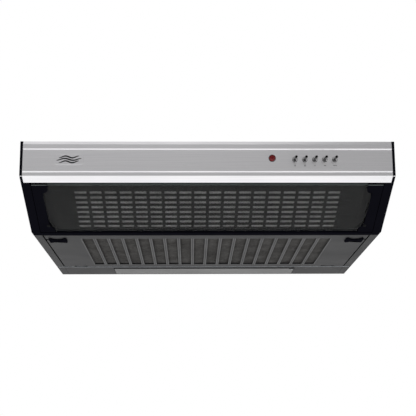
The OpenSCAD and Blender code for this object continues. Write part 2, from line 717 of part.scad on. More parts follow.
canopy_top();
back_panel();
side_panel(-1);  // side_panel_left
side_panel(1);  // side_panel_right
front_rail();
cheek(-1);  // cheek_left
cheek(1);  // cheek_right
end_cap(-1);  // end_cap_left
end_cap(1);  // end_cap_right
fascia_panel();
badge_plate();
indicator_lamp();
button_bezels();
push_button(0);  // light_button
push_button(1);  // stop_button
push_button(2);  // low_speed_button
push_button(3);  // mid_speed_button
push_button(4);  // high_speed_button
switch_block();
switch_bracket();
visor_glass();
visor_bracket(-1);  // visor_bracket_left
visor_bracket(1);  // visor_bracket_right
visor_screws();
visor_pins();
intake_grille();
grille_filter();
filter_panel();
grease_filter();
filter_retainers();
latch(-1);  // latch_left
latch(1);  // latch_right
panel_hinge_pins();
lamp_panel();
lamp_lens();
lamp_tray();
lamp_holders();
lamp_bulbs();
blower_housing_top();
blower_housing_bottom();
inlet_ring();
impeller();
motor_casing();
motor_stator();
motor_rotor();
motor_shaft();
motor_bearings();
motor_plate();
motor_bushes();
capacitor();
terminal_box();
terminal_lid();
cable_gland();
wiring();
outlet_collar();
damper_flap(-1);  // damper_flap_left
damper_flap(1);  // damper_flap_right
damper_pins();
collar_screws();
blower_screws();
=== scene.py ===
"""Looks of a 60 cm under cabinet range hood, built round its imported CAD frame.

Sizes in the classes are millimetres. Meshes are metres in the frame's own axes, X to the right,
Y to the back and Z up, with every object at the origin and its place in its mesh.
"""

import logging
import math
from dataclasses import dataclass, field
from enum import Enum
from typing import Optional, Sequence

import bmesh
import bpy
import numpy as np
from mathutils import Matrix, Vector


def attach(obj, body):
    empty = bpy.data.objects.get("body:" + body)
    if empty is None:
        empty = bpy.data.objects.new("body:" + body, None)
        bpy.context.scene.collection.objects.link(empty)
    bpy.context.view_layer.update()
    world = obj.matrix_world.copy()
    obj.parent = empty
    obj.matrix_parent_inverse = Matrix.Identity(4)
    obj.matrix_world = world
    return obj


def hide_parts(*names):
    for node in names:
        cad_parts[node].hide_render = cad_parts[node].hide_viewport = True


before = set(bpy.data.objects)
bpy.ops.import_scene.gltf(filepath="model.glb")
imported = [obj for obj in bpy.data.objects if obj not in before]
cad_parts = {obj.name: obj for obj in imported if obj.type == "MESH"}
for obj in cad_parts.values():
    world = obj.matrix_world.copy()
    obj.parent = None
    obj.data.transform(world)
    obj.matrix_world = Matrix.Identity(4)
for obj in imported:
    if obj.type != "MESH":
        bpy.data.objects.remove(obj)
log = logging.getLogger("range_hood")
MM = 0.001
DEG = math.pi / 180
WELD_M = 2e-6  # points nearer than this become one
NOISE_MIDDLE = (0.3, 0.7)  # where nearly all values of a noise lie
LEFT_RIGHT = (-1, 1)


# ---------------------------------------------------------------- colours and nodes


def linear(colour: str) -> tuple[float, float, float, float]:
    """Turns an sRGB hex colour into linear light.

    Args:
        colour: six hex digits after a hash.

    Returns:
        Red, green, blue and an alpha of one.
    """
    parts = [int(colour[i : i + 2], 16) / 255 for i in (1, 3, 5)]
    red, green, blue = (c / 12.92 if c <= 0.04045 else ((c + 0.055) / 1.055) ** 2.4 for c in parts)
    return (red, green, blue, 1.0)


def add(
    tree: bpy.types.NodeTree, kind: str, inputs: Optional[dict] = None, **settings: object
) -> bpy.types.Node:
    """Adds one node with its settings and links.

    Args:
        tree: the node tree it goes in.
        kind: the node's type name.
        inputs: what each input takes, by name or index: another node's output, or a plain value.
        settings: the node's own properties.

    Returns:
        The new node.
    """
    node = tree.nodes.new(kind)
    for name, value in settings.items():
        setattr(node, name, value)
    for name, value in (inputs or {}).items():
        if isinstance(value, bpy.types.NodeSocket):
            tree.links.new(value, node.inputs[name])
        else:
            node.inputs[name].default_value = value
    return node


def per_mm(size: float) -> float:
    """Noise scale, in cells to the metre, for a pattern whose features are size millimetres."""
    return 1000.0 / size


def noise(place: bpy.types.NodeSocket, size: float, detail: float) -> dict:
    """The inputs of a noise whose features are size millimetres."""
    return {"Vector": place, "Scale": per_mm(size), "Detail": detail}


class Grain(Enum):
    """How a surface's fine pattern runs."""

    EVEN = (1.0, 1.0, 1.0)  # the same in every direction
    BRUSHED_X = (0.008, 1.0, 1.0)  # long scratches from side to side


# ---------------------------------------------------------------- finishes


@dataclass(frozen=True)
class Finish:
    """A real surface finish: two tones that it wanders between, its gloss and its relief."""

    name: str
    slot: str
    tone: str
    second_tone: str
    metallic: float = 0.0
    roughness: tuple[float, float] = (0.4, 0.5)
    grain: Grain = Grain.EVEN
    grain_mm: float = 1.0  # width of one grain of the relief
    relief_mm: float = 0.02  # height of the relief
    patch_mm: float = 60.0  # size of the wandering patches of tone
    grain_share: float = 0.5  # how much of the tone follows the grain and not the patches
    specular: float = 0.5
    coat: float = 0.0
    transmission: float = 0.0
    alpha: float = 1.0

    def height(self, tree: bpy.types.NodeTree, place: bpy.types.NodeSocket) -> bpy.types.NodeSocket:
        """The fine pattern, from 0 to 1: noise whose cells are grain_mm wide."""
        return add(tree, "ShaderNodeTexNoise", noise(place, self.grain_mm, 3.0)).outputs["Fac"]

    @staticmethod
    def stretch(
        tree: bpy.types.NodeTree, value: bpy.types.NodeSocket, low: float = 0.0, high: float = 1.0
    ) -> bpy.types.NodeSocket:
        """The middle of a noise's range, stretched to run from low to high."""
        span = {"From Min": NOISE_MIDDLE[0], "From Max": NOISE_MIDDLE[1], "To Min": low, "To Max": high}
        return add(tree, "ShaderNodeMapRange", {"Value": value, **span}).outputs[0]

    def build(self) -> bpy.types.Material:
        """Makes the material once and hands back the same one after that.

        Returns:
            The material.
        """
        known = bpy.data.materials.get(self.name)
        if known is not None:
            return known
        material = bpy.data.materials.new(self.name)
        material.use_nodes = True
        tree = material.node_tree
        tree.nodes.clear()
        place = add(tree, "ShaderNodeTexCoord").outputs["Object"]
        along = add(tree, "ShaderNodeMapping", {"Vector": place, "Scale": self.grain.value}).outputs[0]
        height = self.height(tree, along)
        patch = add(tree, "ShaderNodeTexNoise", noise(place, self.patch_mm, 2.0))
        mixed = {"Factor": self.grain_share, "A": patch.outputs["Fac"], "B": height}
        blend = add(tree, "ShaderNodeMix", mixed, data_type="FLOAT").outputs[0]
        tones = {"Factor": self.stretch(tree, blend), 6: linear(self.tone), 7: linear(self.second_tone)}
        relief = {"Height": height, "Distance": self.relief_mm * MM, "Strength": 1.0}
        shader = add(
            tree,
            "ShaderNodeBsdfPrincipled",
            {
                "Base Color": add(tree, "ShaderNodeMix", tones, data_type="RGBA").outputs[2],
                "Metallic": self.metallic,
                "Roughness": self.stretch(tree, blend, *self.roughness),
                "Specular IOR Level": self.specular,
                "Coat Weight": self.coat,
                "Coat Roughness": 0.08,
                "Transmission Weight": self.transmission,
                "Alpha": self.alpha,
                "Normal": add(tree, "ShaderNodeBump", relief).outputs[0],
            },
        )
        out = add(tree, "ShaderNodeOutputMaterial")
        tree.links.new(shader.outputs[0], out.inputs["Surface"])
        return material


@dataclass(frozen=True)
class BandedFinish(Finish):
    """A finish with a regular band every band_mm along one axis, such as laminations."""

    band_mm: float = 1.0
    axis: str = "Z"

    def height(self, tree: bpy.types.NodeTree, place: bpy.types.NodeSocket) -> bpy.types.NodeSocket:
        """Sine bands, one each band_mm: a wave's scale counts turns of 2 pi over 20 a unit."""
        sizes = {"Vector": place, "Scale": per_mm(self.band_mm) * 2 * math.pi / 20}
        return add(tree, "ShaderNodeTexWave", sizes, bands_direction=self.axis).outputs["Fac"]


@dataclass(frozen=True)
class SpangledFinish(Finish):
    """Hot dip zinc, whose crystals show as flat cells of slightly different brightness."""

    def height(self, tree: bpy.types.NodeTree, place: bpy.types.NodeSocket) -> bpy.types.NodeSocket:
        """Cells grain_mm wide, each with one value of its own."""
        cells = add(tree, "ShaderNodeTexVoronoi", {"Vector": place, "Scale": per_mm(self.grain_mm)})
        return add(tree, "ShaderNodeSeparateColor", {"Color": cells.outputs["Color"]}).outputs[0]


# Powder paint on steel sheet: an orange peel about 1 mm across, a dull broken sheen
GREY_PAINT = Finish(
    "grey_powder_paint", "grey_paint", "#373738", "#343435",
    roughness=(0.46, 0.58), grain_mm=1.1, relief_mm=0.012, patch_mm=90, grain_share=0.35, specular=0.06,
)
# The same paint, paler and a little smoother over the pressed lips: painted highlight along the beads
LIP_PAINT_WITH_PAINTED_HIGHLIGHT = Finish(
    "grey_paint_lips_painted_highlight", "grey_paint", "#4d4d4e", "#434344",
    roughness=(0.4, 0.5), grain_mm=1.4, relief_mm=0.01, patch_mm=50, grain_share=0.35, specular=0.1,
)
# Injection moulded ABS with a spark eroded mould face: blue black and quite matt
BLACK_ABS = Finish(
    "moulded_black_abs", "black_moulding", "#0b0b10", "#0f0f15",
    roughness=(0.3, 0.42), grain_mm=0.8, relief_mm=0.006, specular=0.0,
)
# Anodised aluminium extrusion, brushed from side to side: long hair lines that break up the light
BRUSHED_ALUMINIUM = Finish(
    "brushed_anodised_aluminium", "brushed_aluminium", "#ecebed", "#dad9dc",
    metallic=1.0, roughness=(0.27, 0.36), grain=Grain.BRUSHED_X, grain_mm=0.9, relief_mm=0.004,
    patch_mm=160, grain_share=0.6,
)
# Chromed pins: a mirror with the faintest smear
CHROME = Finish(
    "bright_chrome", "bright_trim", "#e2e3e6", "#d3d4d8",
    metallic=1.0, roughness=(0.07, 0.14), grain_mm=6, relief_mm=0.001,
)
# Polished black ABS of the push buttons: deep black with a clear highlight
GLOSS_BLACK = Finish(
    "polished_black_abs", "button_black", "#040405", "#070708",
    roughness=(0.1, 0.16), grain_mm=2.5, relief_mm=0.001, specular=0.1,
)
# Transparent red acrylic, cut in facets: dark red with bright flat sides
RED_ACRYLIC = Finish(
    "faceted_red_acrylic", "red_lens", "#7c080e", "#4e0408",
    roughness=(0.05, 0.1), grain_mm=3, relief_mm=0.001, specular=0.25, coat=0.1,
)
# Grey float glass, 4 mm: dark, see-through, with wiped smears that show only in its gloss
SMOKED_GLASS = Finish(
    "smoked_float_glass", "smoked_glass", "#0b0d0d", "#101211",
    roughness=(0.03, 0.09), grain_mm=25, relief_mm=0.0005, patch_mm=80, specular=0.3, alpha=0.3,
)
# The ground and polished edge of that glass: light caught in it, pale green grey
GLASS_EDGE = Finish(
    "ground_glass_edge", "smoked_glass", "#5e6665", "#4c5453",
    roughness=(0.25, 0.4), grain_mm=0.7, relief_mm=0.004,
)
# Black electrocoated steel: even, a little duller than the mouldings
BLACK_STEEL = Finish(
    "electrocoated_black_steel", "dark_steel", "#0a0b0b", "#0f1011",
    roughness=(0.45, 0.6), grain_mm=1.2, relief_mm=0.008, specular=0.08,
)
# Expanded aluminium foil: dull strands, some bright and some greased
MESH_ALUMINIUM = Finish(
    "expanded_aluminium_mesh", "filter_mesh", "#f2f2f1", "#bdbdbb",
    metallic=0.8, roughness=(0.38, 0.6), grain_mm=7, relief_mm=0.05, patch_mm=45, grain_share=0.45,
)
# The same foil in the lower filter, darker as painted shade for its recess behind the openings, with a slow
# wave through the pack
FILTER_MESH_PAINTED_SHADE = Finish(
    "aluminium_mesh_painted_shade", "filter_mesh", "#504f4e", "#333231",
    metallic=1.0, roughness=(0.42, 0.62), grain_mm=4, relief_mm=0.03, patch_mm=30, grain_share=0.5,
)
# Zinc plated and passivated steel: grey with a slight spangle
ZINC = SpangledFinish(
    "zinc_plated_steel", "zinc_steel", "#b4b8bd", "#9a9fa5",
    metallic=1.0, roughness=(0.3, 0.46), grain_mm=7, relief_mm=0.004, grain_share=0.6,
)
# Glass filled polypropylene of the blower: dark grey with a dull moulded skin
FILLED_PLASTIC = Finish(
    "glass_filled_polypropylene", "housing_plastic", "#2b2c2f", "#232427",
    roughness=(0.5, 0.66), grain_mm=1.5, relief_mm=0.02,
)
# Stacked electrical steel: fine rings, drawn every 1 mm because the real 0.5 mm is too fine to show
LAMINATED_STEEL = BandedFinish(
    "laminated_motor_steel", "motor_steel", "#8d9095", "#6f7277",
    metallic=1.0, roughness=(0.35, 0.5), relief_mm=0.05, band_mm=1.0, grain_share=0.8,
)
# Nitrile rubber: matt black with a fine bloom
RUBBER = Finish(
    "nitrile_rubber", "rubber_black", "#111112", "#1a1a1b",
    roughness=(0.7, 0.85), grain_mm=0.7, relief_mm=0.01, specular=0.3,
)
# Frosted polycarbonate: milky grey, soft, with a satin face
FROSTED_COVER = BandedFinish(
    "frosted_polycarbonate", "frosted_cover", "#4b4b4b", "#3d3d3d",
    roughness=(0.34, 0.46), relief_mm=0.05, band_mm=3.0, axis="Y", patch_mm=120, grain_share=0.35,
    transmission=0.12,
)
# Opal lamp glass: creamy white and glossy
OPAL_GLASS = Finish(
    "opal_lamp_glass", "lamp_glass", "#f1ebde", "#e6dfd0",
    roughness=(0.12, 0.2), grain_mm=5, relief_mm=0.002, transmission=0.25,
)
# White phenolic and nylon of the electrical parts: off white, satin
WHITE_NYLON = Finish(
    "moulded_white_nylon", "white_plastic", "#cfcdc3", "#c2c0b6",
    roughness=(0.4, 0.52), grain_mm=1.4, relief_mm=0.01,
)
# Silicone wire jackets: pale grey, slightly tacky sheen
WIRE_JACKET = Finish(
    "silicone_wire_jacket", "wire_jacket", "#b9b9b6", "#a5a5a2",
    roughness=(0.35, 0.5), grain_mm=1.2, relief_mm=0.01,
)
# Button wells, and the strips that paint a highlight where each end cap bends: satin metal, with a finer
# brush than the fascia
BADGE_METAL = Finish(
    "satin_badge_metal", "badge_metal", "#ecebed", "#dad9dc",
    metallic=1.0, roughness=(0.27, 0.36), grain=Grain.BRUSHED_X, grain_mm=0.7, relief_mm=0.003,
    grain_share=0.6,
)
# The studio's floor: pale and matt, with a tone that wanders slowly
PALE_FLOOR = Finish(
    "pale_studio_floor", "", "#f2f2f2", "#ececec",
    roughness=(0.8, 0.9), grain_mm=40, relief_mm=0.1, patch_mm=900,
)
# Screen printed ink and badge enamel: thin, black, a little uneven
BLACK_ENAMEL = Finish(
    "black_enamel", "badge_metal", "#0b0b0c", "#17171a",
    roughness=(0.25, 0.4), grain_mm=0.6, relief_mm=0.004,
)


# ---------------------------------------------------------------- mesh tools


class Shape:
    """Points and faces gathered from the surfaces that make up one piece, in millimetres."""

    def __init__(self) -> None:
        """Starts empty."""
        self.points: list[np.ndarray] = []
        self.faces: list[list[int]] = []
        self.count = 0

    def add(self, points: np.ndarray, *blocks: np.ndarray) -> "Shape":
        """Adds one surface.

        Args:
            points: an array whose last axis is x, y, z.
            blocks: index arrays, one row a face, into those points.

        Returns:
            This shape.
        """
        flat = np.asarray(points, float).reshape(-1, 3)
        for block in blocks:
            self.faces += (block + self.count).tolist()
        self.points.append(flat)
        self.count += len(flat)
        return self

    def piece(
        self,
        name: str,
        finish: Finish,
        body: str,
        replaces: Sequence[str] = (),
        smooth: float = 32.0,
    ) -> None:
        """Makes the Blender object: welds doubles, turns faces outward, dresses it and lets it ride.

        Args:
            name: the piece's name.
            finish: its finish.
            body: the CAD body that it moves with.
            replaces: CAD nodes that it stands for.
            smooth: edges sharper than this many degrees stay sharp.
        """
        mesh = bpy.data.meshes.new(name)
        mesh.from_pydata((np.concatenate(self.points) * MM).tolist(), [], self.faces)
        work = bmesh.new()
        work.from_mesh(mesh)
        bmesh.ops.remove_doubles(work, verts=work.verts, dist=WELD_M)
        bmesh.ops.recalc_face_normals(work, faces=work.faces)
        work.to_mesh(mesh)
        work.free()
        mesh.validate()
        mesh.polygons.foreach_set("use_smooth", np.ones(len(mesh.polygons), bool))
        mesh.set_sharp_from_angle(angle=smooth * DEG)
        piece = bpy.data.objects.new(name, mesh)
        bpy.context.scene.collection.objects.link(piece)
        mesh.materials.append(finish.build())
        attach(piece, body)
        if replaces:
            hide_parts(*replaces)
        log.info("%s: %d faces on %s, %s", name, len(mesh.polygons), body, finish.name)


def quads(rows: int, cols: int, wrap_rows: bool = False, wrap_cols: bool = False) -> np.ndarray:
    """Faces of a grid whose point in row r and column c has index r * cols + c.

    Each face joins a point, its neighbour along the row and the two beside them in the next row.

    Args:
        rows: rows of points.
        cols: points in a row.
        wrap_rows: the last row joins the first.
        wrap_cols: the last column joins the first.

    Returns:
        An index array, four to a face.
    """
    r, c = np.indices((rows if wrap_rows else rows - 1, cols if wrap_cols else cols - 1))
    r1, c1 = (r + 1) % rows, (c + 1) % cols
    return np.stack([r * cols + c, r * cols + c1, r1 * cols + c1, r1 * cols + c], -1).reshape(-1, 4)


def loft(shape: Shape, loops: np.ndarray, ring: bool = False) -> Shape:
    """Joins closed loops in order, with a flat face over each end, or the last to the first.

    Args:
        shape: where the surface goes.
        loops: points as (loop, point, xyz).
        ring: join the last loop to the first, with no end faces.

    Returns:
        The shape.
    """
    count, size = loops.shape[:2]
    blocks = [quads(count, size, wrap_rows=ring, wrap_cols=True)]
    if not ring:
        blocks += [np.arange(size)[None], (count - 1) * size + np.arange(size)[None]]
    return shape.add(loops, *blocks)


def rounded_loop(half_u: float, half_v: float, radius: float, steps: int = 4) -> np.ndarray:
    """A rectangle with round corners: at each corner, the arc centre plus radius times (cos, sin).

    Args:
        half_u: half its width.
        half_v: half its height.
        radius: corner radius.
        steps: arcs to a corner.

    Returns:
        Points (n, 2), the same count for any size.
    """
    turn = np.linspace(0, 90, steps + 1) * DEG
    parts = []
    for su, sv, q in ((1, 1, 0), (-1, 1, 90 * DEG), (-1, -1, 180 * DEG), (1, -1, 270 * DEG)):
        u, v = su * (half_u - radius), sv * (half_v - radius)
        parts.append(np.stack([u + radius * np.cos(turn + q), v + radius * np.sin(turn + q)], -1))
    return np.concatenate(parts)


def inset(loop: np.ndarray, by: float) -> np.ndarray:
    """Moves a closed outline inward: each point goes along the mean of its two edge normals.

    Args:
        loop: points (n, 2), anticlockwise.
        by: how far.

    Returns:
        The new outline, point for point.
    """
    mean = 0
    for edge in (loop - np.roll(loop, 1, 0), np.roll(loop, -1, 0) - loop):
        length = np.maximum(np.linalg.norm(edge, axis=1), 1e-9)[:, None]
        mean = mean + np.stack([-edge[:, 1], edge[:, 0]], -1) / length
    return loop + by * 2 * mean / np.maximum((mean**2).sum(1), 0.5)[:, None]


def revolve(profile: Sequence[tuple[float, float]], centre: Sequence[float], segments: int) -> np.ndarray:
    """Turns a closed [radius, height] profile about Z: x = r cos a, y = r sin a, z = height.

    Args:
        profile: the closed outline.
        centre: where the axis meets height zero.
        segments: steps round the axis.

    Returns:
        Loops (segment, profile point, xyz), to be joined as a ring.
    """
    turn = (np.arange(segments) * 2 * math.pi / segments)[:, None]
    outline = np.asarray(profile, float)[None]
    radius, height = outline[..., 0], outline[..., 1] + 0 * turn
    return np.stack([radius * np.cos(turn), radius * np.sin(turn), height], -1) + np.asarray(centre, float)


def spline(points: Sequence[Sequence[float]], per_span: int) -> np.ndarray:
    """A smooth line through points: each span is the Catmull-Rom cubic of its four nearest points.

    Args:
        points: the points, in order.
        per_span: steps in each span.

    Returns:
        Points (n, 3).
    """
    p = np.asarray(points, float)
    p = np.concatenate([2 * p[:1] - p[1:2], p, 2 * p[-1:] - p[-2:-1]])
    t = (np.arange(per_span) / per_span)[None, :, None]
    a, b, c, d = (p[i : len(p) - 3 + i, None] for i in range(4))
    line = 0.5 * (2 * b + (c - a) * t + (2 * a - 5 * b + 4 * c - d) * t**2 + (3 * b - a - 3 * c + d) * t**3)
    return np.concatenate([line.reshape(-1, 3), p[-2:-1]])


def sweep(path: np.ndarray, outline: np.ndarray, up: Sequence[float] = (0, 0, 1)) -> np.ndarray:
    """Carries an outline along a path: each loop is path + a side + b top, with both square to it.

    Args:
        path: points (n, 3).
        outline: points (m, 2) as (side, top), or (n, m, 2) where it changes along the path.
        up: a direction that the path never takes.

    Returns:
        Loops (n, m, 3).
    """
    tangent = np.gradient(path, axis=0)
    tangent /= np.linalg.norm(tangent, axis=1)[:, None]
    side = np.cross(tangent, np.asarray(up, float))
    side /= np.linalg.norm(side, axis=1)[:, None]
    top = np.cross(side, tangent)
    profile = np.broadcast_to(outline, (len(path),) + np.shape(outline)[-2:])
    return path[:, None] + profile[..., :1] * side[:, None] + profile[..., 1:] * top[:, None]


def rectangle(across: tuple[float, float], height: tuple[float, float]) -> np.ndarray:
    """The four corners (4, 2) of a box between two limits each way, from its top edge down."""
    (left, right), (low, top) = across, height
    return np.array([(left, top), (right, top), (right, low), (left, low)])


def circle(radius: float, count: int) -> np.ndarray:
    """Points (count, 2) round a circle: radius times (cos, sin)."""
    turn = np.arange(count) * 2 * math.pi / count
    return radius * np.stack([np.cos(turn), np.sin(turn)], -1)


@dataclass(frozen=True)
class Plane:
    """A working plane: u runs across, v down the face and w into the hood."""

    origin: tuple[float, float, float]
    lean: float  # degrees that v is turned below +Y

    def place(self, local: np.ndarray) -> np.ndarray:
        """Turns (u, v, w) into (x, y, z).

        The point is origin + u X + v (0, cos, -sin) + w (0, sin, cos) of the lean.

        Args:
            local: an array whose last axis is u, v, w.

        Returns:
            The same points in the hood's frame.
        """
        c, s = math.cos(self.lean * DEG), math.sin(self.lean * DEG)
        u, v, w = np.moveaxis(np.asarray(local, float), -1, 0)
        return np.stack([u, v * c + w * s, w * c - v * s], -1) + np.asarray(self.origin, float)

    def stack(
        self, outline: np.ndarray, steps: Sequence[tuple[float, float]], at: Sequence[float] = (0, 0)
    ) -> np.ndarray:
        """Copies of an outline, each inset and set at its own depth.

        Args:
            outline: points (n, 2).
            steps: (inset, w) of each copy.
            at: where the outline's middle goes, in u and v.

        Returns:
            Loops (step, n, xyz).
        """
        return self.place(np.stack([np.insert(inset(outline, by) + at, 2, w, 1) for by, w in steps]))

    def bar(
        self, outline: np.ndarray, start: Sequence[float], end: Sequence[float], count: int = 3
    ) -> np.ndarray:
        """An outline carried along a straight line.

        Args:
            outline: points (m, 2) as (side, top).
            start: first point of the line, in u, v and w.
            end: last point of the line.
            count: loops along it.

        Returns:
            Loops (count, m, xyz).
        """
        return self.place(sweep(np.linspace(start, end, count), outline))


@dataclass(frozen=True)
class Openings:
    """A row and column pattern of openings with rounded corners and rolled lips."""

    u: np.ndarray  # middles across
    v: np.ndarray  # middles down
    half: tuple[float, float]
    radius: float
    steps: int = 2

    def rings(self, offsets: Sequence[float], depths: Sequence[float]) -> np.ndarray:
        """Loops round every opening: its outline grown by each offset, at each depth.

        Args:
            offsets: how far each loop stands outside the opening.
            depths: w of each loop.

        Returns:
            Points (opening, loop, point, uvw).
        """
        cu, cv = (a.reshape(-1, 1, 1) for a in np.meshgrid(self.u, self.v, indexing="ij"))
        turn = np.linspace(0, 90, self.steps + 1) * DEG
        angle = np.concatenate([turn + q * 90 * DEG for q in range(4)])
        su = np.repeat([1, -1, -1, 1], self.steps + 1)
        sv = np.repeat([1, 1, -1, -1], self.steps + 1)
        grow = np.asarray(offsets, float)[:, None]
        u = cu + su * (self.half[0] - self.radius) + (self.radius + grow) * np.cos(angle)
        v = cv + sv * (self.half[1] - self.radius) + (self.radius + grow) * np.sin(angle)
        w = np.broadcast_to(np.asarray(depths, float)[:, None], u.shape[1:])[None] + 0 * u
        return np.stack([u, v, w], -1)

    def joined(self, rings: np.ndarray, closed: bool = False) -> np.ndarray:
        """Faces between each opening's neighbouring loops: one grid's faces, repeated by opening."""
        openings, loops, size = rings.shape[:3]
        one = quads(loops, size, wrap_rows=closed, wrap_cols=True)
        return (one[None] + (np.arange(openings) * loops * size)[:, None, None]).reshape(-1, 4)

    def sheet(
        self,
        shape: Shape,
        plane: Plane,
        u_edge: tuple[float, float],
        v_edge: tuple[float, float],
        top: float,
        thick: float,
        lip: float,
    ) -> Shape:
        """A sheet with these openings, whose lips roll inward by a quarter round.

        Each opening owns the rectangle up to half way to its neighbours. Loops run from that
        rectangle to the lip, down the opening's wall and back out to the rectangle behind.

        Args:
            shape: where it goes.
            plane: the plane that it lies in.
            u_edge: the sheet's ends across.
            v_edge: the sheet's ends down.
            top: w of its outer face.
            thick: its thickness.
            lip: radius of the rolled lip.

        Returns:
            The shape.
        """
        depths = [top, top, top + 0.3 * lip, top + lip, top + thick, top + thick]
        rings = self.rings([lip, lip, 0.3 * lip, 0, 0, 0], depths)
        u_lines = np.concatenate([[u_edge[0]], (self.u[1:] + self.u[:-1]) / 2, [u_edge[1]]])
        v_lines = np.concatenate([[v_edge[0]], (self.v[1:] + self.v[:-1]) / 2, [v_edge[1]]])
        iu, iv = (a.reshape(-1, 1) for a in np.indices((len(self.u), len(self.v))))
        step = np.arange(rings.shape[2])
        corner, within = step // (self.steps + 1), step % (self.steps + 1)
        right, low = np.isin(corner, (0, 3)), corner < 2
        side_u = np.where(right, u_lines[iu + 1], u_lines[iu])
        side_v = np.where(low, v_lines[iv + 1], v_lines[iv])
        first, last = within == 0, within == self.steps
        on_u = np.where(corner % 2 == 0, first, last)
        on_v = np.where(corner % 2 == 0, last, first)
        for index in (0, -1):
            edge = rings[:, index]
            edge[..., 0] = np.where(on_v, edge[..., 0], side_u)
            edge[..., 1] = np.where(on_u, edge[..., 1], side_v)
        shape.add(plane.place(rings), self.joined(rings))
        edges = (u_edge, v_edge)
        for axis, middles in enumerate((self.v, self.u)):
            reach = self.half[1 - axis] - self.radius
            marks = (edges[1 - axis], middles - reach, middles + reach, (middles[1:] + middles[:-1]) / 2)
            across = np.sort(np.concatenate(marks))
            for line in edges[axis]:
                wall = np.zeros((2, len(across), 3))
                wall[..., axis], wall[..., 1 - axis] = line, across
                wall[..., 2] = np.array([[top], [top + thick]])
                shape.add(plane.place(wall), quads(2, len(across)))
        return shape


# ---------------------------------------------------------------- the hood's own pieces


@dataclass(frozen=True)
class HoodFrame:
    """The working planes that the hood's faces lie in."""

    front: float = -250.0
    height: float = 117.5
    fascia_height: float = 56.5
    fascia_lean: float = 5.0
    slope: float = 25.9

    def fascia(self) -> Plane:
        """The upright face, v measured down from its top edge."""
        return Plane((0, self.front, 0), 90 - self.fascia_lean)

    def glazed(self) -> Plane:
        """The sloping face, v measured down from the bend."""
        bend = self.front + self.fascia_height * math.tan(self.fascia_lean * DEG)
        return Plane((0, bend, -self.fascia_height), self.slope)

    def underside(self) -> Plane:
        """The flat bottom, v measured back from the middle."""
        return Plane((0, 0, -self.height), 0)


HOOD = HoodFrame()


class Carried:
    """CAD nodes that keep their own shape and only take a finish."""

    FINISHES: tuple[tuple[Finish, tuple[str, ...]], ...] = (
        (GREY_PAINT, ("canopy_top", "back_panel", "side_panel_left", "side_panel_right", "filter_panel",
                      "lamp_panel")),
        (BLACK_ABS, ("front_rail", "cheek_left", "cheek_right", "end_cap_left", "end_cap_right",
                     "visor_bracket_left", "visor_bracket_right")),
        (BRUSHED_ALUMINIUM, ("fascia_panel",)),
        (GLOSS_BLACK, ("light_button", "stop_button", "low_speed_button", "mid_speed_button",
                       "high_speed_button")),
        (CHROME, ("visor_pins", "damper_pins")),
        (ZINC, ("switch_bracket", "filter_retainers", "panel_hinge_pins", "lamp_tray", "motor_plate",
                "damper_flap_left", "damper_flap_right", "outlet_collar", "motor_casing")),
        (FILLED_PLASTIC, ("blower_housing_top", "blower_housing_bottom", "inlet_ring", "switch_block",
                          "cable_gland")),
        (LAMINATED_STEEL, ("motor_stator", "motor_rotor", "motor_shaft", "motor_bearings")),
        (RUBBER, ("motor_bushes",)),
        (FROSTED_COVER, ("lamp_lens",)),
        (OPAL_GLASS, ("lamp_bulbs",)),
        (WHITE_NYLON, ("lamp_holders", "capacitor", "terminal_box", "terminal_lid")),
    )

    def build(self) -> None:
        """Gives each carried node its finish."""
        for finish, nodes in self.FINISHES:
            for name in nodes:
                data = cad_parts[name].data
                data.materials.clear()
                data.materials.append(finish.build())
            log.info("%s dresses %d CAD nodes", finish.name, len(nodes))


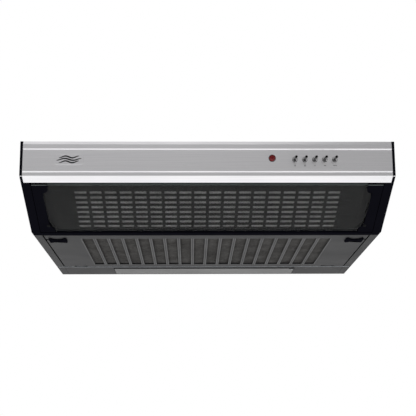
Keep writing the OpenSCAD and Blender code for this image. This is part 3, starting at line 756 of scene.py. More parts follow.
@dataclass
class Controls:
    """What stands on the fascia: button collars, printed marks, indicator jewel and badge."""

    button_u: tuple[float, ...] = (139.0, 155.0, 171.0, 187.0, 203.0)
    button_v: float = 30.0
    stem_radius: float = 2.1
    collar_radius: float = 4.3
    indicator_at: tuple[float, float, float] = (102.5, 28.0, 0.0)
    jewel_sides: int = 12
    badge_at: tuple[float, float] = (-222.0, 30.0)
    badge_half: tuple[float, float] = (23.0, 9.0)
    badge_face: float = -0.25  # w of the blank's sunk middle
    wave_reach: tuple[float, ...] = (16.0, 20.0, 16.0)  # half the length of each wave line
    wave_pitch: float = 4.0
    mark_v: float = 40.0
    print_mm: float = 0.06
    root: float = 0.02  # how far each piece starts inside the face
    face: Plane = field(default_factory=HOOD.fascia)

    def turned(
        self, shape: Shape, profile: Sequence[tuple[float, float]], at: Sequence[float], steps: int
    ) -> Shape:
        """Adds a closed profile turned about a point of the fascia."""
        return loft(shape, self.face.place(revolve(profile, at, steps)), ring=True)

    def collars(self) -> None:
        """Black outer rings, each with a bright dished ring inside it, turned about the stems."""
        edge, root = self.collar_radius, self.root
        well = self.stem_radius + 0.3 - edge
        dark = [(0, root), (0, -0.9), (-0.15, -1.2), (-0.4, -1.2), (-0.5, -0.9), (-0.5, root)]
        bright = [(-0.45, 0.1), (-0.45, -1.1), (-0.6, -1.1), (well, -0.9), (well, 1.6), (-0.6, 1.6)]
        for name, profile, finish, stands_for in (
            ("button_collar_rings", dark, GLOSS_BLACK, ()),
            ("button_dished_rings", bright, BADGE_METAL, ("button_bezels",)),
        ):
            shape = Shape()
            for u in self.button_u:
                self.turned(shape, [(edge + r, w) for r, w in profile], (u, self.button_v, 0), 32)
            shape.piece(name, finish, "hood", stands_for)

    def stroke(self, shape: Shape, start: Sequence[float], end: Sequence[float], half_width: float) -> None:
        """A printed bar between two points (u, v) of the fascia."""
        slab = rectangle((-half_width, half_width), (-self.print_mm, self.root))
        loft(shape, self.face.bar(slab, (*start, 0), (*end, 0), 2))

    def disc(self, shape: Shape, u: float, radius: float, inner: float = 0.0) -> None:
        """A printed dot in the row of marks, or a ring where inner is set."""
        self.turned(shape, rectangle((inner, radius), (-self.print_mm, self.root)), (u, self.mark_v, 0), 24)

    def marks(self) -> None:
        """Printed marks under the buttons: a lamp, a stop ring and one, two or three speed dots, with painted
        highlights in white above them.
        """
        marks, painted_glints, v = Shape(), Shape(), self.mark_v
        light, stop, *speeds = self.button_u
        self.disc(marks, light, 0.55)
        for a in np.arange(8) * 45 * DEG:
            ends = [(light + r * math.cos(a), v + r * math.sin(a)) for r in (0.95, 1.6)]
            self.stroke(marks, *ends, 0.16)
        self.disc(marks, stop, 1.35, 0.85)
        for i, u in enumerate(speeds):
            for k in range(i + 1):
                self.disc(marks, u + (k - i / 2) * 1.9, 0.62)
        marks.piece("printed_marks", BLACK_ENAMEL, "hood")
        # White strokes between each button and its mark: painted highlights
        for u in self.button_u:
            self.stroke(painted_glints, (u, v - 4.4), (u, v - 2.4), 0.35)
        painted_glints.piece("button_painted_highlights", WHITE_NYLON, "hood")

    def jewel(self) -> None:
        """The indicator: many sided loops from a seated stem to a flat table, turned half a step."""
        steps = [
            (4.5, 15.0, 0), (4.5, 0.05, 0), (5.2, 0.0, 0),
            (5.2, -0.9, 0), (4.2, -2.7, 0.5), (2.2, -3.95, 0),
        ]
        loops = []
        for radius, w, twist in steps:
            turn = (np.arange(self.jewel_sides) + twist) * 2 * math.pi / self.jewel_sides
            loops.append(np.stack([radius * np.cos(turn), radius * np.sin(turn), w + 0 * turn], -1))
        jewel = loft(Shape(), self.face.place(np.stack(loops) + self.indicator_at))
        jewel.piece("indicator_jewel", RED_ACRYLIC, "hood", ("indicator_lamp",), smooth=5)
        profile = [(5.8, self.root), (5.8, -0.6), (5.6, -0.85), (5.3, -0.6), (5.25, self.root)]
        rim = self.turned(Shape(), profile, self.indicator_at, 40)
        rim.piece("indicator_rim", BLACK_ABS, "hood")

    def badge(self) -> None:
        """A plain stamped blank with a raised border and three wave lines in enamel."""
        (u, v), sunk = self.badge_at, self.badge_face
        steps = [(0, 0), (0, -0.2), (0.2, -0.3), (0.6, -0.3), (0.8, sunk), (4, sunk)]
        blank = loft(Shape(), self.face.stack(rounded_loop(*self.badge_half, 5.0, 6), steps, (u, v)))
        blank.piece("badge_blank", BRUSHED_ALUMINIUM, "hood", ("badge_plate",), smooth=6)
        waves, t = Shape(), np.linspace(-1, 1, 49)
        swell = 0.2 + 1.05 * np.sqrt(np.clip(1 - t**2, 0, 1))  # half the width of the line
        slab = np.array([(-1, 0.05), (1, 0.05), (0.8, -0.3), (-0.8, -0.3)])
        profile = np.stack([swell[:, None] * slab[:, 0], np.broadcast_to(slab[:, 1], (len(t), 4))], -1)
        rise = 1.5 * np.sin(t * math.pi * 1.5)
        for row, reach in enumerate(self.wave_reach, -1):
            line = np.stack([u + reach * t, v + self.wave_pitch * row + rise, sunk + 0 * t], -1)
            loft(waves, self.face.place(sweep(line, profile)))
        waves.piece("badge_waves", BLACK_ENAMEL, "hood")

    def build(self) -> None:
        """Makes every piece of the control area."""
        self.collars()
        self.marks()
        self.jewel()
        self.badge()


@dataclass
class Visor:
    """The tilting smoked glass, its ground top edge and its screws."""

    half_width: float = 270.0
    v_range: tuple[float, float] = (22.4, 138.2)
    edge_height: float = 0.9  # of the ground edge, which tops the pane
    corner: tuple[float, float] = (12.0, 7.2)  # cut off each lower corner
    depth: float = 1.0
    thick: float = 4.0
    arris: float = 0.5
    screw_at: tuple[float, float] = (268.6, 122.5)
    screw: tuple[float, ...] = (2.6, 1.5, 1.5, 7.5)
    face: Plane = field(default_factory=HOOD.glazed)

    def glass(self) -> None:
        """The pane, its outline inset at both faces for the arrised edge, and its lit top edge."""
        x, (top, v1), (cu, cv) = self.half_width, self.v_range, self.corner
        v0 = top + self.edge_height
        outline = np.array([(-x, v0), (x, v0), (x, v1 - cv), (x - cu, v1), (cu - x, v1), (-x, v1 - cv)])
        front, back, cut = self.depth, self.depth + self.thick, self.arris
        steps = [(cut, front), (0, front + cut), (0, back - cut), (cut, back)]
        pane = loft(Shape(), self.face.stack(outline, steps))
        pane.piece("visor_pane", SMOKED_GLASS, "visor", ("visor_glass",))
        half = self.thick / 2
        upper = [(-0.45, 0.4 - half), (0.1, -half), (0.4, 0.2 - half)]
        section = np.array(upper + [(side, -w) for side, w in reversed(upper)])
        ends = [(u, top + self.edge_height / 2, front + half) for u in (-x, x)]
        loft(Shape(), self.face.bar(section, *ends)).piece("visor_ground_edge", GLASS_EDGE, "visor")

    def build(self) -> None:
        """Makes the pane and the two screws that hold it."""
        self.glass()
        screws = Shape()
        for side in LEFT_RIGHT:
            at = (side * self.screw_at[0], self.screw_at[1], 0)
            PanScrew(*self.screw).drive(screws, at, True, self.face)
        screws.piece("visor_pan_screws", BLACK_STEEL, "visor", ("visor_screws",))


@dataclass(frozen=True)
class PanScrew:
    """A pan head screw with a cross recess, its head above height zero."""

    head_radius: float
    head_height: float
    shank_radius: float
    length: float
    crown: float = 1.12  # above 1, the head's rim keeps some height
    slot: float = 0.13  # half width of the cross, as a share of the head's radius
    recess: float = 0.55  # depth of the cross, as a share of the head's height
    recess_reach: float = 0.62  # how far out the cross goes, as a share of the radius

    def head(self, count: int = 40) -> np.ndarray:
        """The head's loops, from its middle to its foot.

        Its height at radius r and turn a is a quarter ellipse, less a recess that is deepest on the
        axis and wherever the point lies within a slot's width of either cross line.

        Args:
            count: points round the head.

        Returns:
            Loops (loop, count, xyz).
        """
        turn = np.arange(count) * 2 * math.pi / count
        share = np.array([0.02, 0.12, 0.22, 0.3, 0.38, 0.46, 0.54, 0.62, 0.74, 0.86, 0.95, 1.0])[:, None]
        x, y = share * self.head_radius * np.cos(turn), share * self.head_radius * np.sin(turn)
        dome = self.head_height * np.sqrt(np.clip(self.crown - share**2, 0, None)) / math.sqrt(self.crown)
        slot, near = self.slot * self.head_radius, np.minimum(np.abs(x), np.abs(y))
        cut = np.clip((slot * 1.5 - near) / (slot * 0.7), 0, 1)
        cut = cut * np.clip((self.recess_reach - share) / 0.14, 0, 1)
        top = np.stack([x, y, dome - self.recess * self.head_height * cut], -1)
        return np.concatenate([top, top[-1:] * (1, 1, 0)])

    def drive(
        self, shape: Shape, at: Sequence[float], down: bool = False, plane: Optional[Plane] = None
    ) -> None:
        """Adds the head and the shank at a point.

        Args:
            shape: where they go.
            at: where height zero of the axis lies.
            down: the head points down.
            plane: the plane that at is measured in, or none for the hood's own axes.
        """
        shank = np.stack([np.insert(circle(self.shank_radius, 16), 2, z, 1) for z in (0.05, -self.length)])
        for loops in (self.head(), shank):
            placed = loops * (1, 1, -1 if down else 1) + at
            loft(shape, plane.place(placed) if plane else placed)


@dataclass(frozen=True)
class ExpandedMesh:
    """A layer of expanded metal: strands that zigzag and touch their neighbours at each bond."""

    half_width: float
    v_range: tuple[float, float]
    w: float
    long_way: float  # length of a diamond, across
    short_way: float  # its height
    strand: float  # width of a strand
    thick: float
    sway: float = 0.86  # share of the full swing, so that strands don't cross

    def shape(self, plane: Plane) -> Shape:
        """The layer as three sided strands.

        Strand j runs at v = first + j short / 2, and swings by a quarter of short to either side at
        every half diamond, opposite to its neighbours. Its ridge rises and falls with the swing.

        Args:
            plane: the plane that the layer lies in.

        Returns:
            The shape.
        """
        swing = self.short_way / 4
        u = np.arange(-self.half_width, self.half_width + 1e-6, self.long_way / 2)
        v = np.arange(self.v_range[0] + swing, self.v_range[1] - swing, self.short_way / 2)
        sign = 1 - 2 * (np.indices((len(v), len(u))).sum(0) % 2)
        middle = v[:, None] + swing * self.sway * sign
        lift = self.thick * 0.3 * (sign + 1) / 2
        half = self.strand / 2
        section = ((-half, 0.5 * self.thick), (half, 0.5 * self.thick), (0.15 * half, -0.5 * self.thick))
        points = [np.stack([u + 0 * middle, middle + dv, self.w + dw + lift], -1) for dv, dw in section]
        first = np.arange(len(v)) * len(u) * 3
        faces = (quads(len(u), 3, wrap_cols=True)[None] + first[:, None, None]).reshape(-1, 4)
        ends = first[:, None] + np.arange(3)
        return Shape().add(plane.place(np.stack(points, 2)), faces, ends, ends + (len(u) - 1) * 3)


@dataclass
class Intake:
    """The slotted grille behind the visor, and the mesh that shows through its slots."""

    half_width: float = 256.5
    v_range: tuple[float, float] = (18.0, 139.0)
    depth: float = 6.6
    flange_depth: float = 14.0
    sheet: float = 1.0
    fold: float = 1.5  # from the flat sheet's edge to the flange's outside
    slots: tuple[int, int] = (18, 8)
    slot_half: tuple[float, float] = (9.75, 3.0)
    slot_corner: float = 0.9
    slot_lip: float = 0.45
    pitch: tuple[float, float] = (24.5, 12.1)
    first_row: float = 47.4
    mesh_half_width: float = 250.0
    mesh_margin: tuple[float, float] = (8.0, 3.0)  # above and below the mesh
    face: Plane = field(default_factory=HOOD.glazed)

    def grille(self) -> None:
        """The sheet with its slots, and a flange that folds back round it."""
        u = (np.arange(self.slots[0]) - (self.slots[0] - 1) / 2) * self.pitch[0]
        v = self.first_row + np.arange(self.slots[1]) * self.pitch[1]
        holes = Openings(u, v, self.slot_half, self.slot_corner)
        (v0, v1), x, top, low = self.v_range, self.half_width - self.fold, self.depth, self.flange_depth
        ends = (v0 + self.fold, v1 - self.fold)
        shape = holes.sheet(Shape(), self.face, (-x, x), ends, top, self.sheet, self.slot_lip)
        outline = rounded_loop(self.half_width, (v1 - v0) / 2, 2.0, 3)
        fold = [
            (self.fold, top), (0.45, top + 0.15), (0.1, top + 0.5), (0, top + 1.2),
            (0, low), (1, low), (1, top + 1.6), (self.fold, top + 1),
        ]
        loft(shape, self.face.stack(outline, fold, (0, (v0 + v1) / 2)), ring=True)
        shape.piece("intake_slotted_grille", BLACK_STEEL, "hood", ("intake_grille",))

    def mesh(self) -> None:
        """One layer of expanded foil just behind the grille, over a second, finer backing layer."""
        span = (self.v_range[0] + self.mesh_margin[0], self.v_range[1] - self.mesh_margin[1])
        for name, gap, sizes, node in (
            ("grille_mesh_face", 1.75, (4.2, 3.0, 0.8, 0.36), ("grille_filter",)),
            ("grille_mesh_back", 3.2, (5.6, 4.2, 1.4, 0.3), ()),
        ):
            layer = ExpandedMesh(self.mesh_half_width, span, self.depth + gap, *sizes)
            layer.shape(self.face).piece(name, MESH_ALUMINIUM, "hood", node, 50)

    def build(self) -> None:
        """Makes the grille and its mesh."""
        self.grille()
        self.mesh()


@dataclass
class FilterDoor:
    """The drop-down panel: rolled lips round its openings, its mesh pack and the edge hem."""

    openings: int = 18
    pitch: float = 24.8
    half: tuple[float, float] = (9.9, 111.0)
    corner: float = 1.6
    middle: float = 38.5
    hem_half_width: float = 283.0
    front: float = -96.2
    pack_half_width: float = 224.0
    pack_v: tuple[float, float] = (-77.0, 155.0)
    face: Plane = field(default_factory=HOOD.underside)

    def lips(self) -> None:
        """A rolled bead round each opening: rings that rise 0.3 mm, then turn into the opening."""
        u = (np.arange(self.openings) - (self.openings - 1) / 2) * self.pitch
        holes = Openings(u, np.array([self.middle]), self.half, self.corner, 3)
        offsets = [1.5, 1.1, 0.6, 0.1, -0.25, -0.35, -0.35, 0.02]
        depths = [0.02, -0.18, -0.3, -0.2, 0.1, 0.5, 1.25, 1.25]
        rings = holes.rings(offsets, depths)
        shape = Shape().add(self.face.place(rings), holes.joined(rings, closed=True))
        # The paler paint on the lips is a painted highlight along the beads
        shape.piece("filter_opening_lips", LIP_PAINT_WITH_PAINTED_HIGHLIGHT, "filter_door")

    def hem(self) -> None:
        """A rounded hem along the panel's front edge."""
        outline = np.array([
            (0, 0.25), (-0.25, -0.05), (-0.9, -0.28), (-1.9, -0.3),
            (-2.9, -0.2), (-3.4, 0.02), (-2, 0.5), (-0.3, 0.6),
        ])
        ends = [(side * self.hem_half_width, self.front, 0) for side in LEFT_RIGHT]
        loft(Shape(), self.face.bar(outline, *ends)).piece("filter_panel_hem", GREY_PAINT, "filter_door")

    def mesh(self) -> None:
        """The mesh pack: two layers of different pitch, which beat against each other."""
        for name, depth, sizes, node in (
            ("grease_mesh_face", 3.2, (4.6, 3.4, 0.95, 0.5), ("grease_filter",)),
            ("grease_mesh_back", 4.0, (6.4, 4.6, 1.5, 0.4), ()),
        ):
            layer = ExpandedMesh(self.pack_half_width, self.pack_v, depth, *sizes)
            # The lower pack's darker foil is painted shade for its recess behind the openings
            layer.shape(self.face).piece(name, FILTER_MESH_PAINTED_SHADE, "filter_door", node, 50)

    def build(self) -> None:
        """Makes the panel's added pieces."""
        self.lips()
        self.hem()
        self.mesh()


@dataclass
class Latch:
    """A sliding latch: a waisted grip with rounded edges and ribs, over a tongue."""

    side: int
    middle: tuple[float, float] = (262.7, -66.0)
    half: tuple[float, float] = (15.7, 14.0)
    corner: float = 5.0
    waist_radius: float = 12.0
    waist_offset: float = 16.0
    top: float = -0.3
    low: float = -3.4
    rib_pitch: float = 2.6
    rib_half: tuple[float, float] = (0.6, 2.4)
    inner_u: float = 247.0
    blocks: tuple[tuple[float, ...], ...] = (  # neck, keeper and tongue: u from inner_u, half v, w
        (9, 25, 2.7, -0.8, 1.6),
        (5, 22, 6.0, 1.5, 3.5),
        (5, 38.7, 2.7, 1.5, 3.9),
    )
    face: Plane = field(default_factory=HOOD.underside)

    def outline(self) -> np.ndarray:
        """The grip's edge: at each u, the lesser of the rounded plate's and the waist arc's height."""
        u = self.half[0] * np.cos(np.linspace(0, math.pi, 41))
        beyond = np.clip(np.abs(u) - (self.half[0] - self.corner), 0, None)
        plate = self.half[1] - self.corner + np.sqrt(np.clip(self.corner**2 - beyond**2, 0, None))
        arc = np.sqrt(np.clip(self.waist_radius**2 - u**2, 0, None))
        waist = np.where(np.abs(u) < self.waist_radius, self.waist_offset - arc, self.half[1])
        v = np.minimum(plate, waist)
        return np.concatenate([np.stack([u, v], -1), np.stack([u[::-1], -v[::-1]], -1)])

    def build(self) -> None:
        """Makes the grip, its finger ribs and the tongue that slides above the panel."""
        node, body = ("latch_left", "left_latch") if self.side < 0 else ("latch_right", "right_latch")
        u, v = self.side * self.middle[0], self.middle[1]
        low = self.low
        edge = [
            (0.3, self.top), (0, self.top - 0.3), (0, low + 1.2), (0.25, low + 0.6),
            (0.7, low + 0.2), (1.3, low), (2.0, low + 0.2),
        ]
        shape = loft(Shape(), self.face.stack(self.outline(), edge, (u, v)))
        rib = rounded_loop(*self.rib_half, 0.5, 2)
        for k in (-1, 0, 1):
            steps = [(0, low + 0.8), (0, low + 0.1), (0.2, low - 0.05)]
            loft(shape, self.face.stack(rib, steps, (u + self.rib_pitch * k, v)))
        for u0, u1, half_v, w0, w1 in self.blocks:
            block = rounded_loop((u1 - u0) / 2, half_v, 0.6, 2)
            steps = [(0.2, w0), (0, w0 + 0.2), (0, w1 - 0.2), (0.2, w1)]
            loft(shape, self.face.stack(block, steps, (self.side * (self.inner_u + (u0 + u1) / 2), v)))
        shape.piece(f"{body}_grip", BLACK_ABS, body, (node,))


@dataclass
class LampCover:
    """The prism ribs inside the lamp cover, the seal round its front and a small catch at its end."""

    half_width: float = 181.0
    v_range: tuple[float, float] = (189.0, 237.0)
    rib: float = 3.0
    rib_height: float = 0.55
    inner: float = 2.0
    seal_half_width: float = 185.4
    seal_gap: float = 2.9
    catch_u: float = 180.5
    face: Plane = field(default_factory=HOOD.underside)

    def prisms(self) -> None:
        """The ribs: a saw tooth in v, carried along u."""
        count = 2 * int((self.v_range[1] - self.v_range[0]) / self.rib) + 1
        v = self.v_range[0] + np.arange(count) * self.rib / 2
        w = self.inner + self.rib_height * (np.arange(count) % 2)
        tooth = np.stack([0 * v, v, w], -1)
        base = np.array([(0, v[-1], self.inner - 0.1), (0, v[0], self.inner - 0.1)])
        section = np.concatenate([tooth, base])
        loops = np.stack([section + (side * self.half_width, 0, 0) for side in LEFT_RIGHT])
        ribs = loft(Shape(), self.face.place(loops))
        ribs.piece("lamp_cover_prisms", FROSTED_COVER, "lamp_cover", (), 20)

    def build(self) -> None:
        """Makes the ribs, the seal and the pressed catch, with a zinc dot below it that paints the catch's
        highlight.
        """
        self.prisms()
        lip = np.array([(0.9, 0.02), (-0.3, 0.02), (-0.3, -1.2), (0.0, -1.5), (0.6, -1.5), (0.9, -1.2)])
        front = self.v_range[0] - self.seal_gap
        ends = [(side * self.seal_half_width, front, -0.05) for side in LEFT_RIGHT]
        loft(Shape(), self.face.bar(lip, *ends)).piece("lamp_cover_seal", RUBBER, "lamp_cover")
        steps = [(0, -0.02), (0, -0.5), (0.5, -0.9), (1.0, -0.95)]
        for name, finish, half, out, down in (
            ("lamp_cover_catch", BLACK_STEEL, (4.6, 2.6), 0.0, 4.0),
            # The zinc dot below the catch is a painted highlight
            ("lamp_cover_catch_painted_glint", ZINC, (1.6, 1.6), 2.0, 10.5),
        ):
            at = (self.catch_u + out, self.v_range[0] + down)
            catch = loft(Shape(), self.face.stack(rounded_loop(*half, 1.2, 3), steps, at))
            catch.piece(name, finish, "lamp_cover")


@dataclass
class Blower:
    """The impeller with curved blades, and the screws of the blower, terminal box and collar."""

    centre: tuple[float, float, float] = (-110.0, -20.0, 0.0)
    outer: float = 71.8
    eye: float = 60.0
    shaft: float = 4.0
    blades: int = 36
    blade_z: tuple[float, float] = (-75.0, -13.0)
    posts: tuple[tuple[float, float], ...] = ((-190, -20), (-110, -108), (-50, 76), (50, 180))
    post_z: float = -6.0
    post_screw: tuple[float, ...] = (4.0, 1.8, 2.0, 4.9)
    lid_screws: tuple[tuple[float, float, float], ...] = ((115, 50, -33), (185, 50, -33))
    lid_screw: tuple[float, ...] = (3.2, 1.8, 1.3, 8.0)
    collar: tuple[float, float, float] = (67.5, 127.0, 2.0)  # screw circle's radius, its y and its z
    collar_screw: tuple[float, ...] = (3.6, 1.8, 2.1, 2.0)

    def impeller(self) -> None:
        """Turned rings and hub, with blades whose outline bends along an arc.

        A blade's middle line is radius from eye to rim, with the turn growing as the square of the
        share; its faces lie half a thickness to either side.
        """
        c, r, bore, boss = self.centre, self.outer, self.shaft, self.shaft + 5
        hub = [(46, -12.5), (46, -53.5), (44.5, -55.5), (boss, -57), (boss, -70), (bore, -70), (bore, -53),
               (44, -53), (44, -12.5)]
        upper = [(r, -14), (r, -12), (44, -12), (44, -14)]
        lower = [(r, -76), (r, -74), (60.5, -74), (60, -76)]
        shape = Shape()
        for profile, segments in ((upper, 72), (lower, 72), (hub, 64)):
            loft(shape, revolve(profile, c, segments), ring=True)
        share = np.linspace(0, 1, 7)
        radius = self.eye + 1.5 + (r - self.eye - 2.2) * share
        bend = (2 + 9 * share**2) * DEG
        half = 0.35 + 0.35 * np.sin(share * math.pi)
        middle = np.stack([radius * np.cos(bend), radius * np.sin(bend)], -1)
        along = np.gradient(middle, axis=0)
        normal = np.stack([-along[:, 1], along[:, 0]], -1) / np.linalg.norm(along, axis=1)[:, None]
        outline = np.concatenate([middle + normal * half[:, None], (middle - normal * half[:, None])[::-1]])
        for a in np.arange(self.blades) * 2 * math.pi / self.blades:
            turned = outline @ np.array([[math.cos(a), math.sin(a)], [-math.sin(a), math.cos(a)]])
            loft(shape, np.stack([np.insert(turned, 2, z, 1) for z in self.blade_z]) + c)
        shape.piece("blower_wheel", FILLED_PLASTIC, "rotor", ("impeller",))

    def screws(self) -> None:
        """The housing's four screws, the terminal lid's two and the collar's four."""
        low, top = Shape(), Shape()
        for x, y in self.posts:
            PanScrew(*self.post_screw).drive(low, (x, y, self.post_z), True)
        for at in self.lid_screws:
            PanScrew(*self.lid_screw).drive(low, at, True)
        low.piece("housing_pan_screws", ZINC, "hood", ("blower_screws",))
        radius, y, z = self.collar
        for a in np.array([45, 135, 225, 315]) * DEG:
            PanScrew(*self.collar_screw).drive(top, (radius * math.cos(a), y + radius * math.sin(a), z))
        top.piece("collar_pan_screws", ZINC, "hood", ("collar_screws",))

    def build(self) -> None:
        """Makes the wheel and the screws."""
        self.impeller()
        self.screws()


@dataclass
class Harness:
    """The wiring: each run is a few cores twisted about a smooth line, with ties."""

    runs: tuple[tuple[float, tuple[tuple[float, float, float], ...]], ...] = (  # radius, then its points
        (2.5, ((172, 19.8, -12), (172, -50, -12), (225, -150, -8), (225, -226, -27), (213.9, -226, -27))),
        (2.5, ((150, 80.2, -14), (150, 92, -14), (230, 150, -30), (230, 190, -22), (230, 190, -9.2))),
        (1.0, ((109.8, 45, -10), (103, 45, -10), (70, 20, -4.2), (30, 0, -2.5), (-49, -20, -2.5))),
        (2.0, ((190.2, 50, -18), (199, 50, -18), (240, 120, -50), (240, 205, -96), (195.2, 205, -100))),
    )
    cores: int = 3
    twist_mm: float = 36.0
    core_share: float = 0.45  # a core's radius, as a share of the run's
    offset_share: float = 0.54  # how far a core lies from the middle
    tie_at: tuple[float, float] = (0.3, 0.62)  # shares of the run's length
    tie_share: float = 1.12
    aside: tuple[float, float, float] = (0.31, 0.22, 0.92)  # a direction that no run takes

    def build(self) -> None:
        """Makes the cores: each is the run's line plus an offset that turns once each twist_mm."""
        shape, ties = Shape(), Shape()
        for radius, points in self.runs:
            line = spline(points, 16)
            travelled = np.concatenate([[0], np.cumsum(np.linalg.norm(np.diff(line, axis=0), axis=1))])
            for k in range(self.cores):
                turn = (travelled / self.twist_mm + k / self.cores)[:, None] * 2 * math.pi
                offset = self.offset_share * radius * np.stack([np.cos(turn), np.sin(turn)], -1)
                core = sweep(line, offset, self.aside)[:, 0]
                loft(shape, sweep(core, circle(self.core_share * radius, 8), self.aside))
            for at in (int(share * (len(line) - 1)) for share in self.tie_at):
                near = line[at - 1 : at + 2]
                middle = sweep(near, circle(self.tie_share * radius, 14), self.aside)[1]
                along = near[2] - near[0]
                along /= np.linalg.norm(along)
                loft(ties, np.stack([middle - along, middle + along]))
        shape.piece("wire_cores", WIRE_JACKET, "hood", ("wiring",))
        ties.piece("cable_ties", BLACK_ABS, "hood")


@dataclass
class ShellDetails:
    """Spot welds on the painted sides and back, the lamp panel's corner sealant, and a zinc strip along its
    edge that paints a highlight.
    """

    radius: float = 2.6
    proud: float = 0.12
    side_x: float = 300.0
    back_y: float = 250.0
    weld_z: tuple[float, float] = (-7.0, -112.0)
    back_weld_z: float = -8.0
    slope_end: float = -90.0  # in front of this y the side has no lower edge to weld
    panel_y: float = 171.6
    panel_half_width: float = 297.0
    seam_x: float = 285.6
    seam_end: float = 248.5
    face: Plane = field(default_factory=HOOD.underside)

    def welds(self) -> None:
        """Each weld mark as a shallow dome: loops whose height falls with the square of radius."""
        shape, ring = Shape(), circle(self.radius, 16)
        steps = [(1.0, -0.2)] + [(s, self.proud * (1 - s * s)) for s in (1.0, 0.8, 0.5, 0.2)]
        u, v, w = np.moveaxis(np.stack([np.insert(ring * s, 2, height, 1) for s, height in steps]), -1, 0)
        for side in LEFT_RIGHT:
            for y in np.arange(-160, 240, 50.0):
                for z in self.weld_z if y >= self.slope_end else self.weld_z[:1]:
                    loft(shape, np.stack([side * (self.side_x + w), y + u, z + v], -1))
        for x in np.arange(-260, 261, 65.0):
            loft(shape, np.stack([x + u, self.back_y + w, self.back_weld_z + v], -1))
        shape.piece("spot_welds", GREY_PAINT, "hood")

    def build(self) -> None:
        """Makes the weld marks, the zinc strip that paints the edge's highlight and the two beads of sealant.
        """
        self.welds()
        # A zinc strip along the lamp panel's front edge: a painted highlight
        edge = np.array([(-0.4, 0.3), (0.5, 0.3), (0.5, -0.35), (0.2, -0.5), (-0.2, -0.5), (-0.4, -0.35)])
        ends = [(side * self.panel_half_width, self.panel_y, 0) for side in LEFT_RIGHT]
        loft(Shape(), self.face.bar(edge, *ends)).piece("lamp_panel_edge_painted_highlight", ZINC, "hood")
        bead = np.array([(-0.5, 0.3), (0.5, 0.3), (0.45, -0.1), (0.2, -0.22), (-0.2, -0.22), (-0.45, -0.1)])
        seam = Shape()
        for u in (-self.seam_x, self.seam_x):
            loft(seam, self.face.bar(bead, (u, self.panel_y + 1, 0), (u, self.seam_end, 0)))
        seam.piece("corner_sealant", RUBBER, "hood")


@dataclass
class BrightEdges:
    """Thin bright strips that paint highlights: one where each end cap bends, and one along the top of each
    visor bracket.
    """

    bend_u: tuple[float, float] = (295.9, 299.8)
    bend_v: tuple[float, float] = (0.2, 1.7)
    bracket_u: tuple[float, float] = (259.4, 284.0)
    top_v: tuple[float, float] = (21.3, 22.3)
    proud: float = 0.12
    face: Plane = field(default_factory=HOOD.glazed)

    def bar(self, shape: Shape, u: tuple[float, float], v: tuple[float, float], side: int) -> None:
        """A thin bar with softened edges, set on the sloping face on one side."""
        outline = rounded_loop((u[1] - u[0]) / 2, (v[1] - v[0]) / 2, 0.3, 2)
        steps = [(0, 0.1), (0, -0.5 * self.proud), (0.12, -self.proud)]
        loft(shape, self.face.stack(outline, steps, (side * sum(u) / 2, sum(v) / 2)))

    def build(self) -> None:
        """Makes the painted highlight strips at the bends on the hood and those that ride with the visor."""
        bend_highlights, bracket_highlights = Shape(), Shape()
        for side in LEFT_RIGHT:
            self.bar(bend_highlights, self.bend_u, self.bend_v, side)
            self.bar(bracket_highlights, self.bracket_u, self.top_v, side)
        bend_highlights.piece("end_cap_bend_painted_highlight", BADGE_METAL, "hood")
        # The bracket strips take the glass edge's pale finish: a painted highlight on the black brackets' top
        # edges
        bracket_highlights.piece("bracket_top_painted_highlight", GLASS_EDGE, "visor")


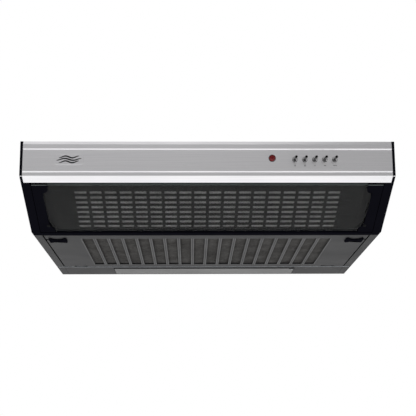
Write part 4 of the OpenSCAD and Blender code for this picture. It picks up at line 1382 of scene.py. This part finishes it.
@dataclass
class Studio:
    """Camera, floor, lights and background."""

    location: tuple[float, float, float] = (-0.028, -1.533, -0.471)
    pitch: float = 15.66
    yaw: float = 1.21
    roll: float = -0.37
    lens_mm: float = 73.4712
    sensor_mm: float = 36.0
    floor_z: float = -2.0
    floor_half: float = 9.0
    surround: float = 0.42  # strength of the white surround as light

    def camera(self) -> None:
        """The camera: it looks along the yaw and pitch, and its roll turns its right and up."""
        data = bpy.data.cameras.new("camera")
        data.sensor_width = self.sensor_mm
        data.lens = self.lens_mm
        cam = bpy.data.objects.new("camera", data)
        bpy.context.scene.collection.objects.link(cam)
        bpy.context.scene.camera = cam
        y, p, r = self.yaw * DEG, self.pitch * DEG, self.roll * DEG
        forward = Vector((math.sin(y) * math.cos(p), math.cos(y) * math.cos(p), math.sin(p)))
        right = Vector((math.cos(y), -math.sin(y), 0))
        up = right.cross(forward)
        side, top = right * math.cos(r) + up * math.sin(r), up * math.cos(r) - right * math.sin(r)
        turn = Matrix((side, top, -forward)).transposed().to_4x4()
        cam.matrix_world = Matrix.Translation(self.location) @ turn

    def floor(self) -> None:
        """A wide pale floor far below, with a soft wandering tone."""
        mesh = bpy.data.meshes.new("studio_floor")
        around = [(x * self.floor_half, y * self.floor_half) for x, y in ((-1, -1), (1, -1), (1, 1), (-1, 1))]
        mesh.from_pydata([(x, y, self.floor_z) for x, y in around], [], [(0, 1, 2, 3)])
        floor = bpy.data.objects.new("studio_floor", mesh)
        bpy.context.scene.collection.objects.link(floor)
        mesh.materials.append(PALE_FLOOR.build())

    @staticmethod
    def lamp(
        name: str, kind: str, energy: float, place: Sequence[float], target: Sequence[float], size: float
    ) -> None:
        """Adds one lamp aimed at a point.

        Args:
            name: its name.
            kind: SUN or AREA.
            energy: its strength.
            place: where it is.
            target: what it points at.
            size: an area's side in metres, or a sun's angle in degrees.
        """
        data = bpy.data.lights.new(name, kind)
        data.energy = energy
        if kind == "SUN":
            data.angle = size * DEG
        else:
            data.shape, data.size = "SQUARE", size
        lamp = bpy.data.objects.new(name, data)
        bpy.context.scene.collection.objects.link(lamp)
        lamp.location = place
        lamp.rotation_euler = (Vector(target) - Vector(place)).to_track_quat("-Z", "Y").to_euler()
        lamp.visible_camera = False

    def light(self) -> None:
        """A broad sun for the floor, a high softbox in front and an even white surround."""
        self.lamp("high_soft_sun", "SUN", 3.3, (-0.8, 2.0, 4), (0, 0, 0), 50)
        self.lamp("high_front_softbox", "AREA", 11, (-0.6, -3.0, 2.0), (0, 0, -0.05), 2.4)
        world = bpy.data.worlds.new("white_surround")
        bpy.context.scene.world = world
        world.use_nodes = True
        tree = world.node_tree
        tree.nodes.clear()
        seen = add(tree, "ShaderNodeLightPath").outputs["Is Camera Ray"]
        lit = add(tree, "ShaderNodeBackground", {"Color": linear("#f8f8f8"), "Strength": self.surround})
        white = add(tree, "ShaderNodeBackground", {"Color": linear("#ffffff"), "Strength": 1.0})
        both = add(tree, "ShaderNodeMixShader", {0: seen, 1: lit.outputs[0], 2: white.outputs[0]})
        out = add(tree, "ShaderNodeOutputWorld")
        tree.links.new(both.outputs[0], out.inputs["Surface"])
        bpy.context.scene.view_settings.view_transform = "Standard"

    def build(self) -> None:
        """Makes the floor and the light."""
        self.floor()
        self.light()


def main() -> None:
    """Builds the hood's looks in order."""
    logging.basicConfig(level=logging.INFO, format="%(name)s: %(message)s")
    studio = Studio()
    studio.camera()
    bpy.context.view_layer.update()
    parts = (
        Carried(), Controls(), Visor(), Intake(), FilterDoor(), Latch(-1), Latch(1), LampCover(), Blower(),
        Harness(), ShellDetails(), BrightEdges(),
    )
    for part in parts:
        part.build()
        log.info("%s done", type(part).__name__)
    studio.build()


if __name__ == "__main__":
    main()
